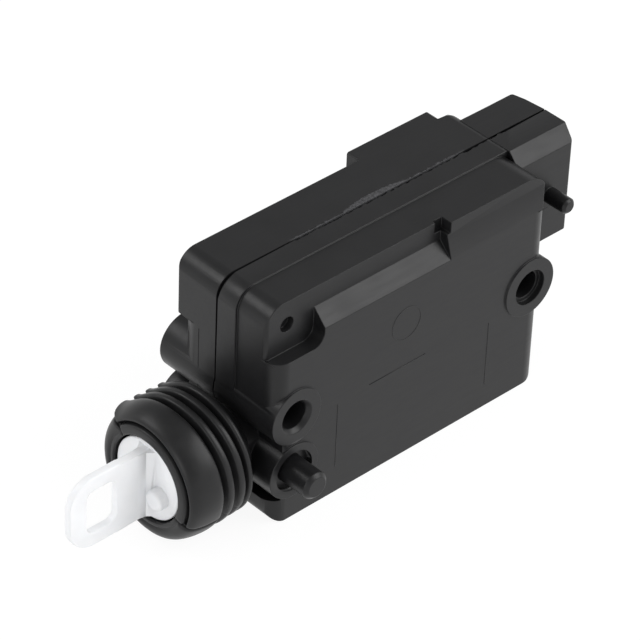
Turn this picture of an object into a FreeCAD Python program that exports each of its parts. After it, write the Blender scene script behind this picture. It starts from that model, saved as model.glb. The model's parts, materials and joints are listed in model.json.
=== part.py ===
"""Door latch actuator: a motor, gear train and rack in a flat moulded housing.

Millimetres. The origin is on the axis of the left mounting hole, at the
parting plane of the housing. +X runs from the plunger towards the connector,
+Y from the broad front face towards the mounting side, +Z up.
"""
import FreeCAD, Part

import math
import os

# Mounting pattern
HOLE_PITCH = 65.2
HOLE_BORE = 6.2
BOSS_DIAMETER = 13.0
EAR_DIAMETER = 13.8
EAR_COUNTERBORE = 8.2
EAR_COUNTERBORE_DEPTH = 1.4
LEAD_IN = 0.9
MOUNT_FACE_DEPTH = 16.0
FRONT_BOSS_RISE = 0.4
STUD_DROP = 13.6
STUD_SET_BACK = 0.2
STUD_DIAMETER = 6.2
STUD_LENGTH = 6.8
STUD_TIP_CHAMFER = 0.8
STUD_RING_DIAMETER = 9.6
STUD_RING_DEPTH = 1.6

# Housing body
BODY_LEFT = 6.1
BODY_LENGTH = 76.5
BODY_ABOVE_HOLES = 26.7
BODY_HEIGHT = 52.5
FRONT_DEPTH = 17.3
REAR_DEPTH = 11.5
WALL = 2.0
TOP_LEFT_RADIUS = 4.5
TOP_RIGHT_RADIUS = 3.0
FRONT_TOP_RIGHT_RADIUS = 6.5
BOTTOM_RADIUS = 3.6
LEFT_EDGE_RADIUS = 3.7
RIGHT_EDGE_RADIUS = 4.8
REAR_EDGE_RADIUS = 3.5
REAR_LEFT_EDGE_RADIUS = 0.8
REAR_LEFT_LOWER_RADIUS = 5.6
REAR_LEFT_LOWER_FROM_TOP = 14.5
CAVITY_CORNER_RADIUS = 1.0

# Steps on the front housing
BASE_LAYER_DEPTH = 5.7
SHELF_DEPTH = 13.9
STEP_LEFT = 0.5
STEP_TOP = 0.3
LEFT_BEVEL_DROP = 5.0
BROW_FROM_LEFT = 47.5
BROW_DEPTH = 15.9
BROW_STRIP = 3.3
BROW_BEVEL_END = 8.0
BROW_LIP = 0.2
BROW_END_CHAMFER = 2.8
BROW_END_WALL = 3.5
BEVEL_WALL = 0.8
NOTCH_WIDTH = 2.6
NOTCH_HEIGHT = 2.9
NOTCH_DEPTH = 2.8
NOTCH_OFFSET = 0.4
POCKET_LENGTH = 13.2
POCKET_HEIGHT = 12.3
POCKET_CORNER_RADIUS = 3.0
POCKET_EDGE_RADIUS = 1.0
POCKET_HOLE_DIAMETER = 3.4
POCKET_HOLE_FROM_TOP = 5.9
POCKET_HOLE_DEPTH = 1.6
RECESS_DEPTH = 3.0

# Motor housing and connector
MOTOR_BLOCK_END = 71.7
MOTOR_BLOCK_DEPTH = 15.0
MOTOR_BLOCK_TOP_RADIUS = 0.6
MOTOR_BLOCK_BOTTOM_RADIUS = 4.0
MOTOR_SIDE_WALL = 1.5
MOTOR_TOP_GAP = 0.4
MOTOR_POST_DIAMETER = 3.2
MOTOR_POST_REACH = 7.1
MOTOR_POST_ANGLES = (51.0, -13.0)
CONNECTOR_END = 91.0
CONNECTOR_HEIGHT = 25.4
CONNECTOR_FRONT = 9.0
CONNECTOR_REAR = 8.3
CONNECTOR_BEVEL = 3.3
CONNECTOR_BEVEL_START = 6.1
CONNECTOR_SEAM_STEP = 0.1
CONNECTOR_FRONT_TAPER = 0.5
CONNECTOR_REAR_TAPER = 1.35
CONNECTOR_KNEE_TAPER = 0.6
CONNECTOR_KNEE_DEPTH = 4.9
CONNECTOR_EDGE_RADIUS = 0.8
CONNECTOR_WALL = 1.8
SOCKET_FLOOR = 3.0
SOCKET_CORNER_RADIUS = 1.0
KEY_STUD_DIAMETER = 3.6
KEY_STUD_LENGTH = 6.0
KEY_STUD_CHAMFER = 0.6
KEY_STUD_FROM_END = 6.5
KEY_STUD_FROM_TOP = 14.0

# Plunger
STROKE = 18.0
ROD_DIAMETER = 9.0
ROD_AXIS_Y = -3.0
ROD_AXIS_DROP = 10.9
FLANGE_DIAMETER = 18.3
FLANGE_THICKNESS = 2.2
FLANGE_REACH = 20.0
EYE_REACH = 40.5
EYE_HEIGHT = 17.2
EYE_ROOT_HEIGHT = 16.2
EYE_THICKNESS = 1.8
EYE_CORNER_RADIUS = 6.2
EYE_SHOULDER_LENGTH = 8.0
EYE_SHOULDER_RADIUS = 12.0
EYELET_LENGTH = 7.5
EYELET_HEIGHT = 10.4
EYELET_CORNER_RADIUS = 1.8
EYELET_RIM = 4.4
TAB_FLARE_LENGTH = 3.6
TAB_FLARE_WIDTH = 1.6
PIN_DIAMETER = 4.6
PIN_LENGTH = 2.3
PIN_FORWARD = 4.2
PIN_DROP = 2.1
BAR_WIDTH = 11.0
BAR_OVERRUN = 5.2
BAR_STEP = 1.0
BAR_RIB = 1.4
BAR_POCKETS = 3
BAR_POCKET_DEPTH = 4.0
RACK_FACE_WIDTH = 3.6
GUIDE_WALL = 1.3
RAIL_INSET = 1.0

# Bellows boot
BOOT_DIAMETER = 29.2
BOOT_FRONT_REACH = 20.6
BOOT_LOBE_LENGTH = 4.9
BOOT_GROOVE_DEPTH = 1.2
BOOT_LOBE_END = 14.1
BOOT_FOLD_PITCH = 3.0
BOOT_FOLDS = 3
BOOT_FOLD_DEPTH = 2.6
BOOT_WALL = 1.2
BOOT_NECK_WALL = 1.6
BOOT_NECK_LENGTH = 3.2
BOOT_LIP_WIDTH = 1.6
BOOT_LIP_ROUND = 0.4
BOOT_LOBE_STEPS = 3
BOOT_CREST_DROP = 0.3
COLLAR_DIAMETER = 16.0
COLLAR_REACH = 4.2

# Gear train
PRESSURE_ANGLE = math.radians(20.0)
RACK_MODULE = 0.8
OUTPUT_TEETH = 35
DRIVE_TEETH = 8
DRIVE_SHIFT = 0.5
MOTOR_MODULE = 0.5
WHEEL_TEETH = 40
PINION_TEETH = 10
PINION_SHIFT = 0.4
PINION_TIP_TRIM = 0.2
ROOT_CLEARANCE = 0.25
BACKLASH = 0.10
OUTPUT_FROM_LEFT = 35.8
OUTPUT_FROM_TOP = 18.4
OUTPUT_AXLE_DIAMETER = 3.0
DRIVE_AXLE_DIAMETER = 2.0
HUB_WALL = 1.6
WHEEL_FACE_WIDTH = 3.0
OUTPUT_FACE_WIDTH = 6.0
GEAR_WEB = 1.8
AXLE_SEAT = 1.2
DRIVE_BOSS_WALL = 1.0
DRIVE_BOSS_HEIGHT = 0.8
WHEEL_FLOOR_GAP = 0.7
GEAR_GAP = 0.4
DRIVE_MOTOR_GAP = 0.6
PINION_OVERHANG = 0.6
FLANK_STEPS = 3

# Motor
MOTOR_DIAMETER = 20.0
MOTOR_LENGTH = 15.4
MOTOR_FRONT = 7.7
CAN_WALL = 0.8
CAP_DEPTH = 4.3
CAP_SPIGOT = 1.0
CAP_WALL = 1.4
CAP_HOLLOW = 1.6
CAP_FLOOR = 0.8
CAP_FLOOR_OVER_SHAFT = 0.4
SHAFT_DIAMETER = 2.0
BUSH_DIAMETER = 4.4
BUSH_LENGTH = 2.3
NOSE_LENGTH = 1.5
MAGNET_THICKNESS = 2.0
MAGNET_LENGTH = 11.0
MAGNET_SPAN = 120.0
AIR_GAP = 0.35
ARMATURE_LENGTH = 8.0
ARMATURE_SET_BACK = 3.4
CORE_HUB_WALL = 1.5
ARMATURE_POLES = 3
POLE_NECK = 2.6
POLE_TIP = 1.2
POLE_SPAN = 96.0
COIL_THICKNESS = 1.3
COIL_INSET = 0.5
COMMUTATOR_DIAMETER = 5.4
COMMUTATOR_LENGTH = 3.0
COMMUTATOR_SLEEVE = 0.8
COMMUTATOR_SLOT = 0.3
BRUSH_WIDTH = 2.0
BRUSH_LENGTH = 2.0
SPRING_THICKNESS = 0.6
SPRING_WIDTH = 2.4
TAB_SET_BACK = 0.1
TAB_SIDE_GAP = 0.1
SHAFT_OVERHANG = 0.2
DAMPER_INSET = 1.0
DAMPER_WIDTH = 3.0

# Terminals
BLADE_WIDTH = 6.3
BLADE_THICKNESS = 0.8
BLADE_TIP_INSET = 3.0
STRIP_WIDTH = 3.0
THERMISTOR_DIAMETER = 7.4
THERMISTOR_THICKNESS = 1.6
CONTACT_THICKNESS = 0.5
FOOT_LENGTH = 1.6

# Buffers
BUFFER_THICKNESS = 2.4
BUFFER_RING_WALL = 2.4
BUFFER_CORNER_RADIUS = 1.0
BUFFER_MARGIN = 1.0

# Tongues of the cover
TONGUE_DEPTH = 1.6
TONGUE_THICKNESS = 1.1
TONGUE_GAP = 0.1
TONGUE_END_GAP = 4.0

# Clearances
RUNNING = 0.05
SLIDING = 0.08
SEAT = 0.02
PART_GAP = 0.3

# How far joined shapes run into each other, and cuts past a surface
OVERLAP = 0.5
BEYOND = 1.0

# Points closer than this are taken as one
SAME_POINT = 1e-6

# Positions worked out from the sizes above
X0 = -BODY_LEFT
X1 = X0 + BODY_LENGTH
Z1 = BODY_ABOVE_HOLES
Z0 = Z1 - BODY_HEIGHT
BORE_RADIUS = HOLE_BORE / 2
BOSS_RADIUS = BOSS_DIAMETER / 2
EAR_RADIUS = EAR_DIAMETER / 2
STUD_X = -STUD_SET_BACK
STUD_Z = -STUD_DROP
ROD_Y = ROD_AXIS_Y
ROD_Z = -ROD_AXIS_DROP
ROD_RADIUS = ROD_DIAMETER / 2
FRONT_FLOOR = -FRONT_DEPTH + WALL
SHELF_FLOOR = -SHELF_DEPTH + WALL
REAR_FLOOR = REAR_DEPTH - WALL
BROW_X = X0 + BROW_FROM_LEFT
INNER_LEFT = BOSS_RADIUS + PART_GAP
NECK_START = BOSS_RADIUS + STUD_SET_BACK - BODY_LEFT + PART_GAP
CONNECTOR_X = X0 + CONNECTOR_END
CONNECTOR_Z = Z1 - CONNECTOR_HEIGHT

OUTPUT_RADIUS = RACK_MODULE * OUTPUT_TEETH / 2
DRIVE_RADIUS = RACK_MODULE * DRIVE_TEETH / 2
WHEEL_RADIUS = MOTOR_MODULE * WHEEL_TEETH / 2
PINION_RADIUS = MOTOR_MODULE * PINION_TEETH / 2
OUTPUT_CENTRE = (X0 + OUTPUT_FROM_LEFT, Z1 - OUTPUT_FROM_TOP)
MOTOR_BLOCK_LENGTH = MOTOR_DIAMETER + 2 * MOTOR_SIDE_WALL
MOTOR_BLOCK_HEIGHT = MOTOR_DIAMETER + MOTOR_TOP_GAP + 2 * WALL
MOTOR_CENTRE = (X0 + MOTOR_BLOCK_END - MOTOR_BLOCK_LENGTH / 2, Z1 - WALL - MOTOR_TOP_GAP - MOTOR_DIAMETER / 2)


def mating_centre(first, first_reach, second, second_reach):
    """Point at the two given distances from two centres, on the lower side."""
    dx = second[0] - first[0]
    dz = second[1] - first[1]
    span = math.hypot(dx, dz)
    along = (first_reach ** 2 - second_reach ** 2 + span ** 2) / (2 * span)
    aside = math.sqrt(first_reach ** 2 - along ** 2)
    x = first[0] + (dx * along + dz * aside) / span
    z = first[1] + (dz * along - dx * aside) / span
    return (x, z)


DRIVE_CENTRE = mating_centre(OUTPUT_CENTRE, OUTPUT_RADIUS + DRIVE_RADIUS,
                             MOTOR_CENTRE, WHEEL_RADIUS + PINION_RADIUS)

# Gear planes, from the front floor backwards
WHEEL_FRONT = FRONT_FLOOR + WHEEL_FLOOR_GAP
WHEEL_BACK = WHEEL_FRONT + WHEEL_FACE_WIDTH
OUTPUT_FRONT = WHEEL_BACK + GEAR_GAP
OUTPUT_BACK = OUTPUT_FRONT + OUTPUT_FACE_WIDTH
DRIVE_BACK = -MOTOR_FRONT - DRIVE_MOTOR_GAP

RACK_LINE = OUTPUT_CENTRE[1] - OUTPUT_RADIUS + DRIVE_SHIFT * RACK_MODULE
BAR_TOP = RACK_LINE - (1 + ROOT_CLEARANCE) * RACK_MODULE
BAR_BOTTOM = ROD_Z - (BAR_TOP - ROD_Z)
BAR_FRONT = ROD_Y - BAR_WIDTH / 2
BAR_BACK = ROD_Y + BAR_WIDTH / 2
BUFFER_X = INNER_LEFT - BUFFER_THICKNESS
BAR_START = INNER_LEFT + PART_GAP + STROKE
BAR_END = OUTPUT_CENTRE[0] + STROKE + BAR_OVERRUN


def point(axis, u, v, w):
    """A point in the plane across the axis: (y, z), (x, z) or (x, y)."""
    if axis == "x":
        return FreeCAD.Vector(w, u, v)
    if axis == "y":
        return FreeCAD.Vector(u, w, v)
    return FreeCAD.Vector(u, v, w)


def corner_arc(before, corner, after, radius):
    """Start, middle and end of the arc that rounds a corner."""
    to_before = (before - corner).normalize()
    to_after = (after - corner).normalize()
    half = to_before.getAngle(to_after) / 2
    reach = radius / math.tan(half)
    bisector = (to_before + to_after).normalize()
    centre = corner + bisector * (radius / math.sin(half))
    middle = centre - bisector * radius
    return corner + to_before * reach, middle, corner + to_after * reach


def outline(points, axis, level):
    """Closed face through (u, v) or (u, v, radius) corners."""
    corners = [point(axis, p[0], p[1], level) for p in points]
    edges = []
    starts = []
    ends = []
    for i, corner in enumerate(corners):
        radius = points[i][2] if len(points[i]) > 2 else 0
        if radius > 0:
            start, middle, end = corner_arc(corners[i - 1], corner, corners[(i + 1) % len(corners)], radius)
            edges.append(Part.Arc(start, middle, end).toShape())
        else:
            start = corner
            end = corner
            edges.append(None)
        starts.append(start)
        ends.append(end)
    wire = []
    for i, edge in enumerate(edges):
        if edge is not None:
            wire.append(edge)
        next_start = starts[(i + 1) % len(starts)]
        if ends[i].distanceToPoint(next_start) > SAME_POINT:
            wire.append(Part.LineSegment(ends[i], next_start).toShape())
    return Part.Face(Part.Wire(wire))


def prism(points, axis, start, end):
    """Solid with the outline's section from start to end along the axis."""
    length = point(axis, 0, 0, end - start)
    return outline(points, axis, start).extrude(length)


def block(x0, x1, y0, y1, z0, z1):
    return Part.makeBox(x1 - x0, y1 - y0, z1 - z0, FreeCAD.Vector(x0, y0, z0))


def cylinder(axis, centre, radius, start, end):
    """Round bar along an axis through centre, given in the plane across it."""
    direction = point(axis, 0, 0, 1)
    return Part.makeCylinder(radius, end - start, point(axis, centre[0], centre[1], start), direction)


def cone(axis, centre, start_radius, end_radius, start, end):
    base = point(axis, centre[0], centre[1], min(start, end))
    radii = (start_radius, end_radius) if end > start else (end_radius, start_radius)
    return Part.makeCone(radii[0], radii[1], abs(end - start), base, point(axis, 0, 0, 1))


def tube(axis, centre, outer, inner, start, end):
    return cylinder(axis, centre, outer, start, end).cut(cylinder(axis, centre, inner, start, end))


def joined(shapes):
    """Shapes fused into one, with seams between flush faces removed."""
    return shapes[0].fuse(shapes[1:]).removeSplitter()


def solid_of(shape):
    """The single solid of a shape; more than one means a modelling fault."""
    if len(shape.Solids) != 1:
        raise ValueError("expected one solid, got %d" % len(shape.Solids))
    return shape.Solids[0]


# Housing shared by both halves


def body_corners(left_step=0.0, top_step=0.0, top_right=TOP_RIGHT_RADIUS):
    """Corners of the main body in X and Z."""
    return [
        (X0 + left_step, Z1 - top_step, TOP_LEFT_RADIUS),
        (X1, Z1 - top_step, top_right),
        (X1, Z0, BOTTOM_RADIUS),
        (X0 + left_step, Z0, BOTTOM_RADIUS),
    ]


def cavity_corners():
    """Room for the mechanism: the full body, stepped in beside the left bosses."""
    return [
        (X0 + WALL, Z1 - WALL, TOP_LEFT_RADIUS - WALL),
        (X1 - WALL, Z1 - WALL, FRONT_TOP_RIGHT_RADIUS - WALL),
        (X1 - WALL, Z0 + WALL, BOTTOM_RADIUS - WALL),
        (INNER_LEFT, Z0 + WALL, BOTTOM_RADIUS - WALL),
        (INNER_LEFT, INNER_LEFT, CAVITY_CORNER_RADIUS),
        (X0 + WALL, INNER_LEFT, CAVITY_CORNER_RADIUS),
    ]


def left_recess(y0, y1):
    """Set-back of the end wall between and below the left bosses."""
    return block(X0 - BEYOND, X0 + RECESS_DEPTH, y0, y1, STUD_Z - BOSS_RADIUS, 0)


def boss_columns(y0, y1):
    left = cylinder("y", (0, 0), BOSS_RADIUS, y0, y1)
    stud = cylinder("y", (STUD_X, STUD_Z), BOSS_RADIUS, y0, y1)
    ear = cylinder("y", (HOLE_PITCH, 0), EAR_RADIUS, y0, y1)
    return [left, stud, ear]


def mounting_bores(y0, y1):
    """Both through holes, with a lead-in cone where they open at each end."""
    cuts = []
    for x in (0, HOLE_PITCH):
        cuts.append(cylinder("y", (x, 0), BORE_RADIUS, y0, y1))
        outer_end = y0 if y0 < 0 else y1
        inward = LEAD_IN if y0 < 0 else -LEAD_IN
        cuts.append(cone("y", (x, 0), BORE_RADIUS + LEAD_IN, BORE_RADIUS, outer_end, outer_end + inward))
    return cuts


def connector_corners(rear):
    """Plan of the connector half in X and Y, with its slightly drawn-in end."""
    if rear:
        return [
            (X1 - WALL, 0),
            (CONNECTOR_X - CONNECTOR_SEAM_STEP, 0),
            (CONNECTOR_X - CONNECTOR_KNEE_TAPER, CONNECTOR_KNEE_DEPTH),
            (CONNECTOR_X - CONNECTOR_REAR_TAPER, CONNECTOR_REAR, CONNECTOR_EDGE_RADIUS),
            (X1 - WALL, CONNECTOR_REAR),
        ]
    return [
        (X1 - WALL, 0),
        (CONNECTOR_X - CONNECTOR_SEAM_STEP, 0),
        (CONNECTOR_X - CONNECTOR_SEAM_STEP, -BASE_LAYER_DEPTH),
        (CONNECTOR_X - CONNECTOR_FRONT_TAPER, -CONNECTOR_FRONT, CONNECTOR_EDGE_RADIUS),
        (X1 - WALL, -CONNECTOR_FRONT),
    ]


def socket_room():
    """Hollow of the plug socket, open towards +X."""
    return prism([
        (-CONNECTOR_FRONT + CONNECTOR_WALL, CONNECTOR_Z + CONNECTOR_WALL, SOCKET_CORNER_RADIUS),
        (CONNECTOR_REAR - CONNECTOR_WALL, CONNECTOR_Z + CONNECTOR_WALL, SOCKET_CORNER_RADIUS),
        (CONNECTOR_REAR - CONNECTOR_WALL, Z1 - CONNECTOR_WALL, SOCKET_CORNER_RADIUS),
        (-BASE_LAYER_DEPTH + CONNECTOR_WALL, Z1 - CONNECTOR_WALL, SOCKET_CORNER_RADIUS),
        (-CONNECTOR_FRONT + CONNECTOR_WALL, Z1 - CONNECTOR_WALL - CONNECTOR_BEVEL, SOCKET_CORNER_RADIUS / 2),
    ], "x", X1 + SOCKET_FLOOR, CONNECTOR_X + BEYOND)


def blade_heights():
    """Heights of the two terminals, in line with the motor's two brushes."""
    offset = COMMUTATOR_DIAMETER / 2 + BRUSH_LENGTH + PART_GAP
    return (MOTOR_CENTRE[1] + offset, MOTOR_CENTRE[1] - offset)


def blade_slots():
    """Slots through the socket floor, half in each housing part."""
    half = BLADE_THICKNESS / 2 + SEAT
    return [
        block(X1 - WALL - BEYOND, X1 + SOCKET_FLOOR + BEYOND, -half, half,
              z - BLADE_WIDTH / 2 - SEAT, z + BLADE_WIDTH / 2 + SEAT)
        for z in blade_heights()
    ]


def rod_passage():
    """Bore for the plunger rod and the seat of the ring buffer at its inner end."""
    axis = (ROD_Y, ROD_Z)
    bore = cylinder("x", axis, ROD_RADIUS + SLIDING, X0 - COLLAR_REACH - BEYOND, INNER_LEFT + BEYOND)
    seat = cylinder("x", axis, buffer_radius() + SEAT, BUFFER_X, INNER_LEFT + BEYOND)
    return [bore, seat]


def buffer_radius():
    return ROD_RADIUS + BUFFER_RING_WALL


def collar():
    """Spigot that the boot's neck sits on."""
    return cylinder("x", (ROD_Y, ROD_Z), COLLAR_DIAMETER / 2, X0 - COLLAR_REACH, X0 + RECESS_DEPTH + OVERLAP)


def halved(shape, rear):
    """The part of a shape on one side of the parting plane."""
    reach = BODY_LENGTH
    if rear:
        keep = block(X0 - reach, CONNECTOR_X + reach, 0, reach, Z0 - reach, Z1 + reach)
    else:
        keep = block(X0 - reach, CONNECTOR_X + reach, -reach, 0, Z0 - reach, Z1 + reach)
    return shape.common(keep)


# Front housing


def face_profile(strip_depth, strip_drop, bevel_end):
    """Section in Y and Z of the front layer: strip, bevel and broad face."""
    return [
        (-SHELF_DEPTH + OVERLAP, Z1 - STEP_TOP),
        (-strip_depth, Z1 - STEP_TOP),
        (-strip_depth, Z1 - strip_drop),
        (-FRONT_DEPTH, Z1 - bevel_end),
        (-FRONT_DEPTH, Z0),
        (-SHELF_DEPTH + OVERLAP, Z0),
    ]


def left_bevel_end():
    return LEFT_BEVEL_DROP + (FRONT_DEPTH - SHELF_DEPTH)


def front_plan():
    """Plan of the front layer: rounded right edge below the brow, a flat chamfer beside it."""
    left = [
        (X0 + STEP_LEFT, OVERLAP),
        (X0 + STEP_LEFT, -FRONT_DEPTH, LEFT_EDGE_RADIUS),
    ]
    round_edge = [(X1, -FRONT_DEPTH, RIGHT_EDGE_RADIUS)]
    flat_edge = [(X1 - BROW_END_CHAMFER, -FRONT_DEPTH), (X1, -FRONT_DEPTH + BROW_END_CHAMFER)]
    right = [(X1, OVERLAP)]
    level = Z1 - BROW_BEVEL_END - BROW_LIP
    return joined([
        prism(left + round_edge + right, "z", Z0, level),
        prism(left + flat_edge + right, "z", level, Z1),
    ])


def front_mass():
    """Outer form of the front housing before anything is cut from it."""
    base = prism(body_corners(), "y", -BASE_LAYER_DEPTH, 0)
    upper = prism(body_corners(STEP_LEFT, STEP_TOP, FRONT_TOP_RIGHT_RADIUS), "y", -FRONT_DEPTH,
                  -BASE_LAYER_DEPTH + OVERLAP)
    left_face = prism(face_profile(SHELF_DEPTH, LEFT_BEVEL_DROP, left_bevel_end()), "x", X0, BROW_X)
    brow = prism(face_profile(BROW_DEPTH, BROW_STRIP, BROW_BEVEL_END), "x", BROW_X, X1)
    shelf = block(X0, X1, -SHELF_DEPTH, OVERLAP, Z0, Z1)
    steps = joined([left_face, brow, shelf])
    layered = upper.common(steps).common(front_plan())
    plug = prism(connector_corners(False), "z", CONNECTOR_Z, Z1).cut(connector_bevel())
    return joined([base, layered, plug])


def connector_bevel():
    """Wedge taken off the connector's top front edge."""
    return prism([
        (-CONNECTOR_BEVEL_START, Z1),
        (-CONNECTOR_BEVEL_START, Z1 + BEYOND),
        (-CONNECTOR_FRONT - BEYOND, Z1 + BEYOND),
        (-CONNECTOR_FRONT - BEYOND, Z1 - CONNECTOR_BEVEL),
        (-CONNECTOR_FRONT, Z1 - CONNECTOR_BEVEL),
    ], "x", X1 - WALL, CONNECTOR_X + BEYOND)


def pocket():
    """Recess at the top left of the broad face, down to the shelf."""
    left = X0 + STEP_LEFT
    right = X0 + POCKET_LENGTH
    bottom = Z1 - POCKET_HEIGHT
    plan = [
        (left - BEYOND, -FRONT_DEPTH - BEYOND),
        (right, -FRONT_DEPTH - BEYOND),
        (right, -SHELF_DEPTH),
        (left, -SHELF_DEPTH, POCKET_EDGE_RADIUS),
        (left, -SHELF_DEPTH + POCKET_EDGE_RADIUS + BEYOND),
        (left - BEYOND, -SHELF_DEPTH + POCKET_EDGE_RADIUS + BEYOND),
    ]
    face = [
        (right, bottom, POCKET_CORNER_RADIUS),
        (left - 2 * BEYOND, bottom),
        (left - 2 * BEYOND, Z1 + BEYOND),
        (right, Z1 + BEYOND),
    ]
    return prism(plan, "z", bottom, Z1 + BEYOND).common(prism(face, "y", -FRONT_DEPTH - BEYOND, 0))


def notch():
    """Small square notch where the brow begins."""
    middle = BROW_X - NOTCH_OFFSET
    return block(middle - NOTCH_WIDTH / 2, middle + NOTCH_WIDTH / 2,
                 -BROW_DEPTH - BEYOND, -BROW_DEPTH + NOTCH_DEPTH, Z1 - NOTCH_HEIGHT, Z1 + BEYOND)


def front_cavity():
    """Hollow of the front housing, stepped like its outer form."""
    shallow = prism(cavity_corners(), "y", SHELF_FLOOR, 0)
    left = max(X0 + POCKET_LENGTH + WALL, INNER_LEFT)
    top = Z1 - left_bevel_end() - BEVEL_WALL
    deep = prism([
        (left, top, CAVITY_CORNER_RADIUS),
        (X1 - WALL, top, CAVITY_CORNER_RADIUS),
        (X1 - WALL, Z0 + WALL, BOTTOM_RADIUS - WALL),
        (left, Z0 + WALL, BOTTOM_RADIUS - WALL),
    ], "y", FRONT_FLOOR, SHELF_FLOOR + OVERLAP)
    under_brow = block(BROW_X + WALL, X1 - BROW_END_WALL, -BROW_DEPTH + WALL, SHELF_FLOOR + OVERLAP,
                       top - BEVEL_WALL, Z1 - WALL)
    rounded = prism([
        (X0 + WALL, BEYOND),
        (X0 + WALL, FRONT_FLOOR, LEFT_EDGE_RADIUS - WALL),
        (X1 - WALL, FRONT_FLOOR, RIGHT_EDGE_RADIUS - WALL),
        (X1 - WALL, BEYOND),
    ], "z", Z0, Z1)
    return joined([shallow, deep, under_brow]).common(rounded)


def stud_and_ring():
    """Blind stud boss: a ring-shaped recess round the locating stud."""
    face = -FRONT_DEPTH - FRONT_BOSS_RISE
    centre = (STUD_X, STUD_Z)
    radius = STUD_DIAMETER / 2
    tip_start = face - STUD_LENGTH + STUD_TIP_CHAMFER
    ring = tube("y", centre, STUD_RING_DIAMETER / 2, radius, face, face + STUD_RING_DEPTH)
    straight = cylinder("y", centre, radius, tip_start, face + STUD_RING_DEPTH)
    tip = cone("y", centre, radius, radius - STUD_TIP_CHAMFER, tip_start, face - STUD_LENGTH)
    return ring, joined([straight, tip])


def key_stud():
    """Small round-ended stud on the connector's front."""
    centre = (CONNECTOR_X - KEY_STUD_FROM_END, Z1 - KEY_STUD_FROM_TOP)
    radius = KEY_STUD_DIAMETER / 2
    end = -CONNECTOR_FRONT - KEY_STUD_LENGTH
    bar = cylinder("y", centre, radius, end + KEY_STUD_CHAMFER, -CONNECTOR_FRONT + OVERLAP)
    tip = cone("y", centre, radius, radius - KEY_STUD_CHAMFER, end + KEY_STUD_CHAMFER, end)
    return joined([bar, tip])


def guide_walls(y0, y1, rail_y0, rail_y1):
    """Walls that carry the rack bar: a ledge below it and two rails beside it."""
    x0 = INNER_LEFT
    x1 = BAR_END + PART_GAP
    ledge_top = BAR_BOTTOM - PART_GAP
    walls = [block(x0, x1, y0, y1, ledge_top - GUIDE_WALL, ledge_top)]
    for z in (BAR_BOTTOM + RAIL_INSET, BAR_TOP - RAIL_INSET - 2 * GUIDE_WALL):
        walls.append(block(x0, x1, rail_y0, rail_y1, z, z + GUIDE_WALL))
    return walls


def front_guides():
    root = FRONT_FLOOR - OVERLAP
    return guide_walls(root, 0, root, BAR_FRONT - PART_GAP)


def rear_guides():
    root = REAR_FLOOR + OVERLAP
    return guide_walls(0, root, BAR_BACK + PART_GAP, root)


def retract_buffer_box():
    x0 = BAR_END + PART_GAP
    return x0, x0 + BUFFER_THICKNESS


def buffer_pocket(y0, y1):
    """Cheeks that hold the block buffer behind the rack bar."""
    x0, x1 = retract_buffer_box()
    bottom = BAR_BOTTOM - BUFFER_MARGIN
    back = block(x1 + SEAT, x1 + SEAT + GUIDE_WALL, y0, y1, bottom, BAR_TOP + BUFFER_MARGIN)
    under = block(x0 - PART_GAP, x1 + GUIDE_WALL, y0, y1, bottom - GUIDE_WALL, BAR_BOTTOM - SEAT)
    return [back, under]


def motor_posts():
    """Posts from the front wall that the motor's face rests on."""
    posts = []
    root = FRONT_FLOOR - OVERLAP
    for degrees in MOTOR_POST_ANGLES:
        x = MOTOR_CENTRE[0] + MOTOR_POST_REACH * math.cos(math.radians(degrees))
        z = MOTOR_CENTRE[1] + MOTOR_POST_REACH * math.sin(math.radians(degrees))
        posts.append(cylinder("y", (x, z), MOTOR_POST_DIAMETER / 2, root, -MOTOR_FRONT - SEAT))
    return posts


def front_axle_bosses():
    """Boss under the output gear; the intermediate axle seats in the wall itself."""
    return [cylinder("y", OUTPUT_CENTRE, OUTPUT_AXLE_DIAMETER / 2 + HUB_WALL, FRONT_FLOOR - OVERLAP,
                     OUTPUT_FRONT - PART_GAP)]


def axle_holes(y0, y1):
    """Blind seats for both gear axles."""
    return [
        cylinder("y", OUTPUT_CENTRE, OUTPUT_AXLE_DIAMETER / 2 + SEAT, y0, y1),
        cylinder("y", DRIVE_CENTRE, DRIVE_AXLE_DIAMETER / 2 + SEAT, y0, y1),
    ]


def front_housing():
    mass = front_mass()
    mass = mass.cut([pocket(), notch(), left_recess(-FRONT_DEPTH - BEYOND, 0)])
    hollow = front_cavity()
    shell = mass.cut(hollow)
    inner = front_guides() + buffer_pocket(FRONT_FLOOR - OVERLAP, 0) + motor_posts() + front_axle_bosses()
    columns = boss_columns(-FRONT_DEPTH - FRONT_BOSS_RISE, 0)
    ring, stud = stud_and_ring()
    shell = joined([shell] + inner + columns + [halved(collar(), False), key_stud()])
    ear_face = -FRONT_DEPTH - FRONT_BOSS_RISE
    counterbore = cylinder("y", (HOLE_PITCH, 0), EAR_COUNTERBORE / 2, ear_face,
                           ear_face + EAR_COUNTERBORE_DEPTH)
    locator = cylinder("y", (0, Z1 - POCKET_HOLE_FROM_TOP), POCKET_HOLE_DIAMETER / 2,
                       -SHELF_DEPTH - BEYOND, -SHELF_DEPTH + POCKET_HOLE_DEPTH)
    cuts = [ring, counterbore, locator, socket_room()] + blade_slots() + rod_passage()
    cuts += mounting_bores(ear_face, 0) + axle_holes(FRONT_FLOOR - AXLE_SEAT, OUTPUT_FRONT)
    shell = shell.cut(cuts)
    return solid_of(joined([shell, stud]))


# Rear cover


def rear_plan(left_radius):
    """Plan of the cover in X and Y, with the given rounding of its left edge."""
    return [
        (X0, -BEYOND),
        (X1, -BEYOND),
        (X1, REAR_DEPTH, REAR_EDGE_RADIUS),
        (X0, REAR_DEPTH, left_radius),
    ]


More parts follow.
